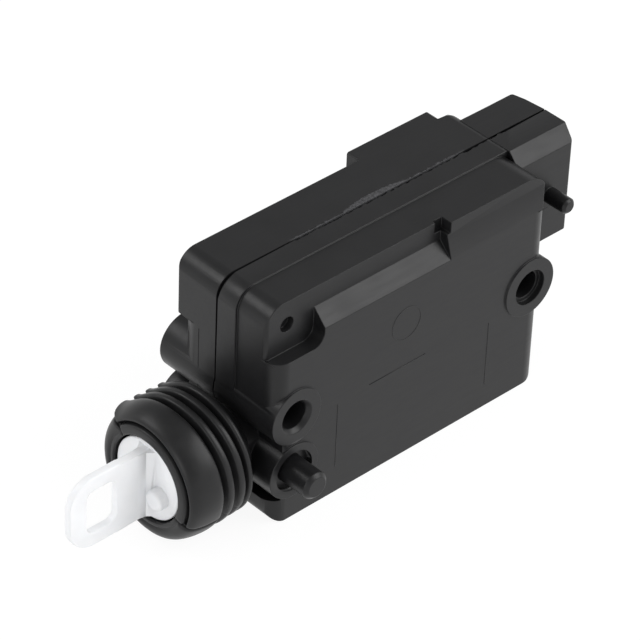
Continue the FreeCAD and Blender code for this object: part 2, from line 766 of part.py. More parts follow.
def rear_cavity():
    """Hollow of the cover, rounded inside its rounded left edge."""
    plan = [
        (X0 + WALL, -BEYOND),
        (X1 - WALL, -BEYOND),
        (X1 - WALL, REAR_FLOOR),
        (X0 + WALL, REAR_FLOOR, REAR_LEFT_LOWER_RADIUS - WALL),
    ]
    return prism(cavity_corners(), "y", 0, REAR_FLOOR).common(prism(plan, "z", Z0, Z1))


def rear_mass():
    body = prism(body_corners(), "y", 0, REAR_DEPTH)
    level = Z1 - REAR_LEFT_LOWER_FROM_TOP
    plan = joined([
        prism(rear_plan(REAR_LEFT_LOWER_RADIUS), "z", Z0, level),
        prism(rear_plan(REAR_LEFT_EDGE_RADIUS), "z", level, Z1),
    ])
    plug = prism(connector_corners(True), "z", CONNECTOR_Z, Z1)
    left = X0 + MOTOR_BLOCK_END - MOTOR_BLOCK_LENGTH
    right = X0 + MOTOR_BLOCK_END
    bottom = Z1 - MOTOR_BLOCK_HEIGHT
    hump = prism([
        (left, Z1, MOTOR_BLOCK_TOP_RADIUS),
        (right, Z1, MOTOR_BLOCK_TOP_RADIUS),
        (right, bottom, MOTOR_BLOCK_BOTTOM_RADIUS),
        (left, bottom, MOTOR_BLOCK_BOTTOM_RADIUS),
    ], "y", REAR_FLOOR, MOTOR_BLOCK_DEPTH)
    return joined([body.common(plan), plug, hump])


def tongue(x0, x1, z0, z1, to_left, to_bottom, to_top):
    """Locating tongue inside the front housing's rim, rooted in the cover's wall."""
    lip = block(x0, x1, -TONGUE_DEPTH, TONGUE_DEPTH, z0, z1)
    root = block(x0 - to_left, x1, 0, TONGUE_DEPTH, z0 - to_bottom, z1 + to_top)
    return joined([lip, root])


def rear_tongues():
    """Tongues along the bottom, the top and the left end."""
    inner = WALL + TONGUE_GAP
    reach = inner - WALL / 2
    bottom = tongue(INNER_LEFT + TONGUE_END_GAP, X1 - WALL - BOTTOM_RADIUS - TONGUE_END_GAP,
                    Z0 + inner, Z0 + inner + TONGUE_THICKNESS, 0, reach, 0)
    top = tongue(X0 + TOP_LEFT_RADIUS + TONGUE_END_GAP, OUTPUT_CENTRE[0] - TONGUE_END_GAP,
                 Z1 - inner - TONGUE_THICKNESS, Z1 - inner, 0, 0, reach)
    left = tongue(X0 + inner, X0 + inner + TONGUE_THICKNESS,
                  BOSS_RADIUS + TONGUE_END_GAP, Z1 - TOP_LEFT_RADIUS - TONGUE_END_GAP, reach, 0, 0)
    return [bottom, top, left]


def rear_axle_bosses():
    radius = OUTPUT_AXLE_DIAMETER / 2 + HUB_WALL
    output = cylinder("y", OUTPUT_CENTRE, radius, output_hub_back() + PART_GAP, REAR_FLOOR + OVERLAP)
    drive = cylinder("y", DRIVE_CENTRE, DRIVE_AXLE_DIAMETER / 2 + DRIVE_BOSS_WALL,
                     REAR_FLOOR - DRIVE_BOSS_HEIGHT, REAR_FLOOR + OVERLAP)
    return [output, drive]


def rear_cover():
    mass = rear_mass()
    mass = mass.cut(left_recess(0, REAR_DEPTH + BEYOND))
    can_room = cylinder("y", MOTOR_CENTRE, MOTOR_DIAMETER / 2 + SLIDING, 0, MOTOR_BLOCK_DEPTH - WALL)
    shell = mass.cut(rear_cavity())
    inner = rear_guides() + buffer_pocket(0, REAR_FLOOR + OVERLAP) + rear_axle_bosses()
    columns = boss_columns(0, MOUNT_FACE_DEPTH)
    shell = joined([shell] + inner + columns + [halved(collar(), True)] + rear_tongues())
    cuts = [can_room, socket_room()] + blade_slots() + rod_passage() + mounting_bores(0, MOUNT_FACE_DEPTH)
    cuts += axle_holes(output_hub_back(), REAR_FLOOR + AXLE_SEAT)
    return solid_of(shell.cut(cuts))


# Boot


def boot_outside():
    """Outer line of the bellows: lip, groove, front lobe, folds and neck."""
    crest = BOOT_DIAMETER / 2
    lip = FLANGE_DIAMETER / 2 + PART_GAP
    lobe = lip + BOOT_LIP_WIDTH + BOOT_LIP_ROUND
    front = BOOT_FRONT_REACH - BOOT_LIP_ROUND
    line = [
        (BOOT_FRONT_REACH, lip),
        (BOOT_FRONT_REACH, lip + BOOT_LIP_WIDTH - BOOT_LIP_ROUND),
        (BOOT_FRONT_REACH - BOOT_GROOVE_DEPTH, lip + BOOT_LIP_WIDTH),
        (front, lobe),
    ]
    for step in range(1, BOOT_LOBE_STEPS + 1):
        angle = math.radians(90 * step / BOOT_LOBE_STEPS)
        reach = front - BOOT_LOBE_LENGTH * (1 - math.cos(angle))
        line.append((reach, lobe + (crest - lobe) * math.sin(angle)))
    line.append((BOOT_LOBE_END, crest))
    for fold in range(BOOT_FOLDS):
        middle = fold_middle(fold)
        line.append((middle + BOOT_FOLD_PITCH / 2, crest - BOOT_FOLD_DEPTH))
        line.append((middle, crest - BOOT_CREST_DROP))
    neck = COLLAR_DIAMETER / 2 + PART_GAP + BOOT_NECK_WALL
    line.append((BOOT_NECK_LENGTH, neck))
    line.append((NECK_START, neck))
    return line


def boot_inside():
    """Inner line of the bellows, from the neck to the lip."""
    crest = BOOT_DIAMETER / 2
    lip = FLANGE_DIAMETER / 2 + PART_GAP
    neck = COLLAR_DIAMETER / 2 + PART_GAP
    line = [(NECK_START, neck), (BOOT_NECK_LENGTH, neck)]
    for fold in reversed(range(BOOT_FOLDS)):
        middle = fold_middle(fold)
        line.append((middle, crest - BOOT_CREST_DROP - BOOT_WALL))
        line.append((middle + BOOT_FOLD_PITCH / 2, crest - BOOT_FOLD_DEPTH - BOOT_WALL))
    line.append((BOOT_LOBE_END + BOOT_WALL, crest - BOOT_WALL))
    line.append((BOOT_FRONT_REACH - BOOT_LOBE_LENGTH, crest - BOOT_WALL - BOOT_LIP_ROUND))
    line.append((BOOT_FRONT_REACH - BOOT_GROOVE_DEPTH - BOOT_WALL, lip + BOOT_WALL))
    line.append((BOOT_FRONT_REACH - BOOT_GROOVE_DEPTH - BOOT_WALL, lip))
    return line


def fold_middle(fold):
    """Distance of a fold's crest from the end wall."""
    return BOOT_LOBE_END - BOOT_FOLD_PITCH * (fold + 1)


def bellows_boot():
    line = boot_outside() + boot_inside()
    points = [FreeCAD.Vector(X0 - reach, ROD_Y + radius, ROD_Z) for reach, radius in line]
    face = Part.Face(Part.makePolygon(points + [points[0]]))
    axis_point = FreeCAD.Vector(0, ROD_Y, ROD_Z)
    return solid_of(face.revolve(axis_point, FreeCAD.Vector(1, 0, 0), 360))


# Gears


def involute_angle(radius, base_radius):
    """Polar angle of an involute at a radius."""
    if radius <= base_radius:
        return 0.0
    roll = math.sqrt((radius / base_radius) ** 2 - 1)
    return roll - math.atan(roll)


def gear_points(module, teeth, shift, phase):
    """Outline of an involute gear in X and Z; phase is one tooth's direction."""
    pitch_radius = module * teeth / 2
    base_radius = pitch_radius * math.cos(PRESSURE_ANGLE)
    trim = PINION_TIP_TRIM if shift > 0 else 0
    tip = pitch_radius + module * (1 + shift - trim)
    root = pitch_radius - module * (1 + ROOT_CLEARANCE - shift)
    half_tooth = math.pi / (2 * teeth) + 2 * shift * math.tan(PRESSURE_ANGLE) / teeth
    half_tooth -= BACKLASH / (2 * pitch_radius)
    at_pitch = involute_angle(pitch_radius, base_radius)
    start = max(base_radius, root)
    flank = [start + (tip - start) * k / FLANK_STEPS for k in range(FLANK_STEPS + 1)]
    points = []
    for tooth in range(teeth):
        middle = phase + 2 * math.pi * tooth / teeth
        rising = []
        if root < base_radius:
            rising.append((root, half_tooth + at_pitch))
        rising += [(r, half_tooth + at_pitch - involute_angle(r, base_radius)) for r in flank]
        side = [(r, -a) for r, a in rising] + [(r, a) for r, a in reversed(rising)]
        points += [(r * math.cos(middle + a), r * math.sin(middle + a)) for r, a in side]
    return points


def gear(module, teeth, shift, phase, centre, start, end):
    points = gear_points(module, teeth, shift, phase)
    return prism([(centre[0] + u, centre[1] + v) for u, v in points], "y", start, end)


def mesh_phase(phase, teeth, centre, mate_teeth, mate_centre):
    """Tooth direction of a gear that meshes with the one given."""
    direction = math.atan2(mate_centre[1] - centre[1], mate_centre[0] - centre[0])
    return direction + math.pi - (phase - direction) * teeth / mate_teeth + math.pi / mate_teeth


OUTPUT_PHASE = -math.pi / 2
DRIVE_PHASE = mesh_phase(OUTPUT_PHASE, OUTPUT_TEETH, OUTPUT_CENTRE, DRIVE_TEETH, DRIVE_CENTRE)
WHEEL_PHASE = DRIVE_PHASE
PINION_PHASE = mesh_phase(WHEEL_PHASE, WHEEL_TEETH, DRIVE_CENTRE, PINION_TEETH, MOTOR_CENTRE)


def output_hub_back():
    return BAR_BACK + PART_GAP


def output_gear():
    """Large gear with a thinned web and a long hub, in mesh with the rack."""
    teeth = gear(RACK_MODULE, OUTPUT_TEETH, -DRIVE_SHIFT, OUTPUT_PHASE, OUTPUT_CENTRE,
                 OUTPUT_FRONT, OUTPUT_BACK)
    hub_radius = OUTPUT_AXLE_DIAMETER / 2 + HUB_WALL
    rim = OUTPUT_RADIUS - 2 * RACK_MODULE - HUB_WALL
    recess = tube("y", OUTPUT_CENTRE, rim, hub_radius, OUTPUT_FRONT + GEAR_WEB, OUTPUT_BACK)
    hub = cylinder("y", OUTPUT_CENTRE, hub_radius, OUTPUT_FRONT, output_hub_back())
    bore = cylinder("y", OUTPUT_CENTRE, OUTPUT_AXLE_DIAMETER / 2 + RUNNING, OUTPUT_FRONT, output_hub_back())
    return solid_of(joined([teeth.cut(recess), hub]).cut(bore))


def intermediate_gear():
    """Wheel driven by the motor pinion, in one piece with the small drive gear."""
    wheel = gear(MOTOR_MODULE, WHEEL_TEETH, -PINION_SHIFT, WHEEL_PHASE, DRIVE_CENTRE, WHEEL_FRONT, WHEEL_BACK)
    drive = gear(RACK_MODULE, DRIVE_TEETH, DRIVE_SHIFT, DRIVE_PHASE, DRIVE_CENTRE, WHEEL_BACK, DRIVE_BACK)
    bore = cylinder("y", DRIVE_CENTRE, DRIVE_AXLE_DIAMETER / 2 + RUNNING, WHEEL_FRONT, DRIVE_BACK)
    return solid_of(joined([wheel, drive]).cut(bore))


def motor_pinion():
    end = WHEEL_BACK + PINION_OVERHANG
    teeth = gear(MOTOR_MODULE, PINION_TEETH, PINION_SHIFT, PINION_PHASE, MOTOR_CENTRE, WHEEL_FRONT, end)
    bore = cylinder("y", MOTOR_CENTRE, SHAFT_DIAMETER / 2 + SEAT, WHEEL_FRONT, end)
    return solid_of(teeth.cut(bore))


def output_axle():
    return cylinder("y", OUTPUT_CENTRE, OUTPUT_AXLE_DIAMETER / 2, FRONT_FLOOR - AXLE_SEAT + SEAT,
                    REAR_FLOOR + AXLE_SEAT - SEAT)


def intermediate_axle():
    return cylinder("y", DRIVE_CENTRE, DRIVE_AXLE_DIAMETER / 2, FRONT_FLOOR - AXLE_SEAT + SEAT,
                    REAR_FLOOR + AXLE_SEAT - SEAT)


# Plunger


def rack_profile():
    """Toothed top edge of the bar in X and Z; a gap stands under the gear's centre."""
    pitch = math.pi * RACK_MODULE
    tip_z = RACK_LINE + RACK_MODULE
    half_line = pitch / 4 - BACKLASH / 2
    half_tip = half_line - RACK_MODULE * math.tan(PRESSURE_ANGLE)
    half_root = half_line + (RACK_LINE - BAR_TOP) * math.tan(PRESSURE_ANGLE)
    first = math.ceil((BAR_START + half_root - OUTPUT_CENTRE[0]) / pitch - 0.5)
    last = math.floor((BAR_END - half_root - OUTPUT_CENTRE[0]) / pitch - 0.5)
    base = BAR_TOP - BAR_STEP - OVERLAP
    points = [(BAR_START, base), (BAR_START, BAR_TOP)]
    for tooth in range(first, last + 1):
        middle = OUTPUT_CENTRE[0] + (tooth + 0.5) * pitch
        points += [
            (middle - half_root, BAR_TOP),
            (middle - half_tip, tip_z),
            (middle + half_tip, tip_z),
            (middle + half_root, BAR_TOP),
        ]
    points += [(BAR_END, BAR_TOP), (BAR_END, base)]
    return points


def bar_pockets():
    """Coring of the bar's rear side."""
    pockets = []
    width = (BAR_END - BAR_START - BAR_RIB) / BAR_POCKETS
    for k in range(BAR_POCKETS):
        x0 = BAR_START + BAR_RIB + k * width
        pockets.append(block(x0, x0 + width - BAR_RIB, BAR_BACK - BAR_POCKET_DEPTH, BAR_BACK + BEYOND,
                             BAR_BOTTOM + BAR_RIB, BAR_TOP - BAR_STEP - BAR_RIB))
    return pockets


def eye_tab():
    """Flat tab with its eyelet, running into the flange."""
    tip = X0 - EYE_REACH
    root = X0 - FLANGE_REACH + OVERLAP
    shoulder = X0 - FLANGE_REACH - EYE_SHOULDER_LENGTH
    corners = [
        (root, ROD_Z + EYE_ROOT_HEIGHT / 2),
        (shoulder, ROD_Z + EYE_HEIGHT / 2, EYE_SHOULDER_RADIUS),
        (tip, ROD_Z + EYE_HEIGHT / 2, EYE_CORNER_RADIUS),
        (tip, ROD_Z - EYE_HEIGHT / 2, EYE_CORNER_RADIUS),
        (shoulder, ROD_Z - EYE_HEIGHT / 2, EYE_SHOULDER_RADIUS),
        (root, ROD_Z - EYE_ROOT_HEIGHT / 2),
    ]
    tab = prism(corners, "y", ROD_Y - EYE_THICKNESS / 2, ROD_Y + EYE_THICKNESS / 2)
    eye_x = tip + EYELET_RIM
    eye = [
        (eye_x, ROD_Z + EYELET_HEIGHT / 2, EYELET_CORNER_RADIUS),
        (eye_x + EYELET_LENGTH, ROD_Z + EYELET_HEIGHT / 2, EYELET_CORNER_RADIUS),
        (eye_x + EYELET_LENGTH, ROD_Z - EYELET_HEIGHT / 2, EYELET_CORNER_RADIUS),
        (eye_x, ROD_Z - EYELET_HEIGHT / 2, EYELET_CORNER_RADIUS),
    ]
    return tab.cut(prism(eye, "y", ROD_Y - EYE_THICKNESS, ROD_Y + EYE_THICKNESS))


def tab_root():
    """Flare where the tab meets the flange, on both sides of the tab."""
    flange_x = X0 - FLANGE_REACH
    half = EYE_THICKNESS / 2
    knee_x = flange_x - TAB_FLARE_LENGTH * 0.4
    knee = half + TAB_FLARE_WIDTH / 4
    section = [
        (flange_x + OVERLAP, ROD_Y - half - TAB_FLARE_WIDTH),
        (flange_x, ROD_Y - half - TAB_FLARE_WIDTH),
        (knee_x, ROD_Y - knee),
        (flange_x - TAB_FLARE_LENGTH, ROD_Y - half),
        (flange_x - TAB_FLARE_LENGTH, ROD_Y + half),
        (knee_x, ROD_Y + knee),
        (flange_x, ROD_Y + half + TAB_FLARE_WIDTH),
        (flange_x + OVERLAP, ROD_Y + half + TAB_FLARE_WIDTH),
    ]
    return prism(section, "z", ROD_Z - EYE_ROOT_HEIGHT / 2, ROD_Z + EYE_ROOT_HEIGHT / 2)


def plunger_rack():
    """Rack bar, rod, flange and eye as one moulding."""
    teeth = prism(rack_profile(), "y", BAR_FRONT, BAR_FRONT + RACK_FACE_WIDTH)
    bar = block(BAR_START, BAR_END, BAR_FRONT, BAR_BACK, BAR_BOTTOM, BAR_TOP - BAR_STEP)
    cored = bar.cut(bar_pockets())
    flange_x = X0 - FLANGE_REACH
    axis = (ROD_Y, ROD_Z)
    rod = cylinder("x", axis, ROD_RADIUS, flange_x + OVERLAP, BAR_START + OVERLAP)
    flange = cylinder("x", axis, FLANGE_DIAMETER / 2, flange_x, flange_x + FLANGE_THICKNESS)
    pin = cylinder("x", (ROD_Y - PIN_FORWARD, ROD_Z - PIN_DROP), PIN_DIAMETER / 2, flange_x - PIN_LENGTH,
                   flange_x + OVERLAP)
    return solid_of(joined([teeth, cored, rod, flange, eye_tab(), tab_root(), pin]))


# Buffers


def extend_buffer():
    """Rubber ring round the rod that stops the rack bar when it is out."""
    return tube("x", (ROD_Y, ROD_Z), buffer_radius(), ROD_RADIUS + PART_GAP, BUFFER_X + SEAT, INNER_LEFT)


def retract_buffer():
    """Rubber block behind the rack bar."""
    x0, x1 = retract_buffer_box()
    return prism([
        (BAR_FRONT, BAR_BOTTOM, BUFFER_CORNER_RADIUS),
        (BAR_BACK, BAR_BOTTOM, BUFFER_CORNER_RADIUS),
        (BAR_BACK, BAR_TOP, BUFFER_CORNER_RADIUS),
        (BAR_FRONT, BAR_TOP, BUFFER_CORNER_RADIUS),
    ], "x", x0, x1)


# Motor

CAN_FRONT = -MOTOR_FRONT
CAN_BACK = CAN_FRONT + MOTOR_LENGTH
CAP_BACK = CAN_BACK + CAP_DEPTH
CAN_INNER = MOTOR_DIAMETER / 2 - CAN_WALL
MAGNET_INNER = CAN_INNER - MAGNET_THICKNESS
ARMATURE_RADIUS = MAGNET_INNER - AIR_GAP
ARMATURE_FRONT = CAN_FRONT + ARMATURE_SET_BACK
ARMATURE_BACK = ARMATURE_FRONT + ARMATURE_LENGTH
COMMUTATOR_FRONT = ARMATURE_BACK + COIL_THICKNESS + PART_GAP
COMMUTATOR_BACK = COMMUTATOR_FRONT + COMMUTATOR_LENGTH
TAB_FRONT = CAN_BACK + TAB_SET_BACK
TAB_BACK = TAB_FRONT + SPRING_THICKNESS
RISER_X = X1 - WALL - PART_GAP - BLADE_THICKNESS


def motor_can():
    """Drawn steel cup with a bearing nose, open towards the end cap."""
    cup = cylinder("y", MOTOR_CENTRE, MOTOR_DIAMETER / 2, CAN_FRONT, CAN_BACK)
    room = cylinder("y", MOTOR_CENTRE, CAN_INNER, CAN_FRONT + CAN_WALL, CAN_BACK)
    nose_end = CAN_FRONT - NOSE_LENGTH
    nose = cylinder("y", MOTOR_CENTRE, BUSH_DIAMETER / 2 + CAN_WALL, nose_end, CAN_FRONT)
    seat = cylinder("y", MOTOR_CENTRE, BUSH_DIAMETER / 2 + SEAT, nose_end, CAN_FRONT + CAN_WALL)
    return solid_of(joined([cup.cut(room), nose]).cut(seat))


def motor_end_cap():
    """Moulded cap with the rear bearing seat and slots for the brush tabs."""
    cap = cylinder("y", MOTOR_CENTRE, MOTOR_DIAMETER / 2, CAN_BACK, CAP_BACK)
    spigot = cylinder("y", MOTOR_CENTRE, CAN_INNER - SEAT, CAN_BACK - CAP_SPIGOT, CAN_BACK)
    hollow = cylinder("y", MOTOR_CENTRE, CAN_INNER - CAP_WALL, CAN_BACK - CAP_SPIGOT, CAN_BACK + CAP_HOLLOW)
    seat = cylinder("y", MOTOR_CENTRE, BUSH_DIAMETER / 2 + SEAT, CAN_BACK, CAP_BACK - CAP_FLOOR)
    room = cylinder("y", MOTOR_CENTRE, SHAFT_DIAMETER / 2 + PART_GAP, CAN_BACK,
                    CAP_BACK - CAP_FLOOR_OVER_SHAFT)
    slots = [
        block(MOTOR_CENTRE[0], MOTOR_CENTRE[0] + MOTOR_DIAMETER, CAN_BACK - CAP_SPIGOT, TAB_BACK + SEAT,
              z - STRIP_WIDTH / 2 - SEAT, z + STRIP_WIDTH / 2 + SEAT)
        for z in blade_heights()
    ]
    return solid_of(joined([cap, spigot]).cut([hollow, seat, room] + slots))


def motor_bush(start):
    inner = SHAFT_DIAMETER / 2 + RUNNING
    return tube("y", MOTOR_CENTRE, BUSH_DIAMETER / 2, inner, start, start + BUSH_LENGTH)


def motor_magnets():
    """Two arc magnets against the can's wall."""
    start = ARMATURE_FRONT + (ARMATURE_LENGTH - MAGNET_LENGTH) / 2
    ring = tube("y", MOTOR_CENTRE, CAN_INNER - SEAT, MAGNET_INNER, start, start + MAGNET_LENGTH)
    reach = MOTOR_DIAMETER
    half = math.radians(MAGNET_SPAN / 2)
    magnets = []
    for middle in (math.pi / 2, -math.pi / 2):
        cx, cz = MOTOR_CENTRE
        wedge = prism([
            (cx, cz),
            (cx + reach * math.cos(middle - half), cz + reach * math.sin(middle - half)),
            (cx + 1.5 * reach * math.cos(middle), cz + 1.5 * reach * math.sin(middle)),
            (cx + reach * math.cos(middle + half), cz + reach * math.sin(middle + half)),
        ], "y", start, start + MAGNET_LENGTH)
        magnets.append(solid_of(ring.common(wedge)))
    return Part.Compound(magnets)


def pole_angles():
    return [360.0 * k / ARMATURE_POLES for k in range(ARMATURE_POLES)]


def turned(shape, degrees):
    """Copy turned about the motor's axis."""
    copy = shape.copy()
    copy.rotate(point("y", MOTOR_CENTRE[0], MOTOR_CENTRE[1], 0), FreeCAD.Vector(0, 1, 0), degrees)
    return copy


def armature_core():
    """Stack of laminations: a hub and three poles with curved shoes."""
    hub_radius = SHAFT_DIAMETER / 2 + CORE_HUB_WALL
    hub = cylinder("y", MOTOR_CENTRE, hub_radius, ARMATURE_FRONT, ARMATURE_BACK)
    shoe_ring = tube("y", MOTOR_CENTRE, ARMATURE_RADIUS, ARMATURE_RADIUS - POLE_TIP,
                     ARMATURE_FRONT, ARMATURE_BACK)
    cx, cz = MOTOR_CENTRE
    half = math.radians(POLE_SPAN / 2)
    wedge = prism([
        (cx, cz),
        (cx + MOTOR_DIAMETER * math.cos(half), cz - MOTOR_DIAMETER * math.sin(half)),
        (cx + 2 * MOTOR_DIAMETER, cz),
        (cx + MOTOR_DIAMETER * math.cos(half), cz + MOTOR_DIAMETER * math.sin(half)),
    ], "y", ARMATURE_FRONT, ARMATURE_BACK)
    shoe = shoe_ring.common(wedge)
    neck = block(cx, cx + ARMATURE_RADIUS - POLE_TIP / 2, ARMATURE_FRONT, ARMATURE_BACK,
                 cz - POLE_NECK / 2, cz + POLE_NECK / 2)
    pole = joined([neck, shoe])
    poles = [turned(pole, angle) for angle in pole_angles()]
    bore = cylinder("y", MOTOR_CENTRE, SHAFT_DIAMETER / 2 + SEAT, ARMATURE_FRONT, ARMATURE_BACK)
    return solid_of(joined([hub] + poles).cut(bore))


def armature_windings():
    """One coil round each pole, as a closed ring of wire."""
    cx, cz = MOTOR_CENTRE
    inner_x = cx + SHAFT_DIAMETER / 2 + CORE_HUB_WALL + COIL_INSET
    outer_x = cx + ARMATURE_RADIUS
    half = POLE_NECK / 2 + SEAT
    outside = block(inner_x, outer_x, ARMATURE_FRONT - COIL_THICKNESS, ARMATURE_BACK + COIL_THICKNESS,
                    cz - half - COIL_THICKNESS, cz + half + COIL_THICKNESS)
    inside = block(inner_x, outer_x, ARMATURE_FRONT - SEAT, ARMATURE_BACK + SEAT, cz - half, cz + half)
    side_by_side = prism([
        (cx + PART_GAP, cz),
        (cx + MOTOR_DIAMETER * math.cos(math.pi / ARMATURE_POLES),
         cz - MOTOR_DIAMETER * math.sin(math.pi / ARMATURE_POLES)),
        (cx + MOTOR_DIAMETER * math.cos(math.pi / ARMATURE_POLES),
         cz + MOTOR_DIAMETER * math.sin(math.pi / ARMATURE_POLES)),
    ], "y", ARMATURE_FRONT - 2 * COIL_THICKNESS, ARMATURE_BACK + 2 * COIL_THICKNESS)
    under_shoes = cylinder("y", MOTOR_CENTRE, ARMATURE_RADIUS - POLE_TIP - SEAT,
                           ARMATURE_FRONT - 2 * COIL_THICKNESS, ARMATURE_BACK + 2 * COIL_THICKNESS)
    coil = solid_of(outside.cut(inside).common(side_by_side).common(under_shoes))
    return Part.Compound([turned(coil, angle) for angle in pole_angles()])


def commutator():
    """Copper segments on their moulded sleeve, as one turned piece with slots."""
    ring = tube("y", MOTOR_CENTRE, COMMUTATOR_DIAMETER / 2, SHAFT_DIAMETER / 2 + SEAT,
                COMMUTATOR_FRONT, COMMUTATOR_BACK)
    cx, cz = MOTOR_CENTRE
    slot = block(cx + SHAFT_DIAMETER / 2 + COMMUTATOR_SLEEVE, cx + COMMUTATOR_DIAMETER,
                 COMMUTATOR_FRONT, COMMUTATOR_BACK, cz - COMMUTATOR_SLOT / 2, cz + COMMUTATOR_SLOT / 2)
    half_step = 180.0 / ARMATURE_POLES
    return solid_of(ring.cut([turned(slot, angle + half_step) for angle in pole_angles()]))


def motor_shaft():
    return cylinder("y", MOTOR_CENTRE, SHAFT_DIAMETER / 2, WHEEL_FRONT - SHAFT_OVERHANG,
                    CAP_BACK - CAP_FLOOR_OVER_SHAFT - SHAFT_OVERHANG)


def brush_side(z):
    """+1 for the upper terminal, -1 for the lower one."""
    return 1 if z > MOTOR_CENTRE[1] else -1


def motor_brushes():
    """Carbon blocks on both sides of the commutator."""
    brushes = []
    x = MOTOR_CENTRE[0]
    middle = (COMMUTATOR_FRONT + COMMUTATOR_BACK) / 2
    half = BRUSH_WIDTH / 2
    for z in blade_heights():
        side = brush_side(z)
        near = MOTOR_CENTRE[1] + side * (COMMUTATOR_DIAMETER / 2 + RUNNING)
        far = near + side * BRUSH_LENGTH
        brushes.append(block(x - half, x + half, middle - half, middle + half, min(near, far), max(near, far)))
    return Part.Compound(brushes)


def brush_springs():
    """Leaf behind each brush, with a tab that leaves the end cap."""
    springs = []
    middle = (COMMUTATOR_FRONT + COMMUTATOR_BACK) / 2
    for z in blade_heights():
        side = brush_side(z)
        back = MOTOR_CENTRE[1] + side * (COMMUTATOR_DIAMETER / 2 + RUNNING + BRUSH_LENGTH + SEAT)
        far = back + side * SPRING_THICKNESS
        leaf = block(MOTOR_CENTRE[0] - SPRING_WIDTH / 2, MOTOR_CENTRE[0] + SPRING_WIDTH / 2,
                     middle - BRUSH_WIDTH / 2, TAB_BACK, min(back, far), max(back, far))
        tab = block(MOTOR_CENTRE[0] - SPRING_WIDTH / 2, contact_x() - SEAT, TAB_FRONT, TAB_BACK,
                    z - STRIP_WIDTH / 2 + TAB_SIDE_GAP, z + STRIP_WIDTH / 2 - TAB_SIDE_GAP)
        springs.append(solid_of(joined([leaf, tab])))
    return Part.Compound(springs)


def motor_damper():
    """Rubber washer between the motor and the cover."""
    outer = MOTOR_DIAMETER / 2 - DAMPER_INSET
    return tube("y", MOTOR_CENTRE, outer, outer - DAMPER_WIDTH, CAP_BACK + SEAT,
                MOTOR_BLOCK_DEPTH - WALL - SEAT)


# Terminals


def contact_x():
    """Face of the contact strip beside the thermistor."""
    return RISER_X - THERMISTOR_THICKNESS - CONTACT_THICKNESS


def terminal(z, with_foot):
    """Blade in the socket, bent along the side wall towards the motor's tab."""
    half = BLADE_THICKNESS / 2
    blade = block(RISER_X, CONNECTOR_X - BLADE_TIP_INSET, -half, half,
                  z - BLADE_WIDTH / 2, z + BLADE_WIDTH / 2)
    narrow = [
        block(RISER_X - BEYOND, X1 - WALL - PART_GAP, -half - BEYOND, half + BEYOND, z0, z0 + BLADE_WIDTH)
        for z0 in (z + STRIP_WIDTH / 2, z - STRIP_WIDTH / 2 - BLADE_WIDTH)
    ]
    top = TAB_BACK + SEAT + BLADE_THICKNESS if with_foot else TAB_FRONT - PART_GAP
    riser = block(RISER_X, RISER_X + BLADE_THICKNESS, -half, top, z - STRIP_WIDTH / 2, z + STRIP_WIDTH / 2)
    pieces = [blade.cut(narrow), riser]
    if with_foot:
        pieces.append(block(contact_x() - FOOT_LENGTH, RISER_X + BLADE_THICKNESS, top - BLADE_THICKNESS, top,
                            z - STRIP_WIDTH / 2, z + STRIP_WIDTH / 2))
    return solid_of(joined(pieces))


def thermistor_centre():
    return (THERMISTOR_DIAMETER / 2 - BLADE_THICKNESS / 2, blade_heights()[0])


def ptc_thermistor():
    start = RISER_X - THERMISTOR_THICKNESS
    return cylinder("x", thermistor_centre(), THERMISTOR_DIAMETER / 2, start, RISER_X)


def contact_spring():
    """Strip between the thermistor and the upper brush tab."""
    z = blade_heights()[0]
    top = TAB_BACK + SEAT + CONTACT_THICKNESS
    strip = block(contact_x(), contact_x() + CONTACT_THICKNESS, -BLADE_THICKNESS / 2, top,
                  z - STRIP_WIDTH / 2, z + STRIP_WIDTH / 2)
    foot = block(contact_x() - FOOT_LENGTH, contact_x() + CONTACT_THICKNESS, top - CONTACT_THICKNESS, top,
                 z - STRIP_WIDTH / 2, z + STRIP_WIDTH / 2)
    return solid_of(joined([strip, foot]))


def export(name, shape):
    shape.exportStep(os.path.join("parts", name + ".step"))


def main():
    os.makedirs("parts", exist_ok=True)
    upper_z, lower_z = blade_heights()
    pieces = {
        "front_housing": front_housing(),
        "rear_cover": rear_cover(),
        "bellows_boot": bellows_boot(),
        "plunger_rack": plunger_rack(),
        "extend_buffer": extend_buffer(),
        "retract_buffer": retract_buffer(),
        "output_gear": output_gear(),
        "output_axle": output_axle(),
        "intermediate_gear": intermediate_gear(),
        "intermediate_axle": intermediate_axle(),
        "motor_can": motor_can(),
        "motor_end_cap": motor_end_cap(),
        "motor_magnets": motor_magnets(),
        "motor_front_bush": motor_bush(CAN_FRONT - NOSE_LENGTH),
        "motor_rear_bush": motor_bush(CAP_BACK - CAP_FLOOR - BUSH_LENGTH),
        "motor_shaft": motor_shaft(),
        "motor_pinion": motor_pinion(),
        "armature_core": armature_core(),
        "armature_windings": armature_windings(),
        "commutator": commutator(),
        "motor_brushes": motor_brushes(),
        "brush_springs": brush_springs(),
        "motor_damper": motor_damper(),
        "terminal_upper": terminal(upper_z, False),
        "terminal_lower": terminal(lower_z, True),
        "ptc_thermistor": ptc_thermistor(),
        "contact_spring": contact_spring(),
    }
    for name, shape in pieces.items():
        export(name, shape)


main()
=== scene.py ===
import json
import math

import bmesh
import bpy
from mathutils import Euler, Matrix, Vector, noise
from mathutils.bvhtree import BVHTree


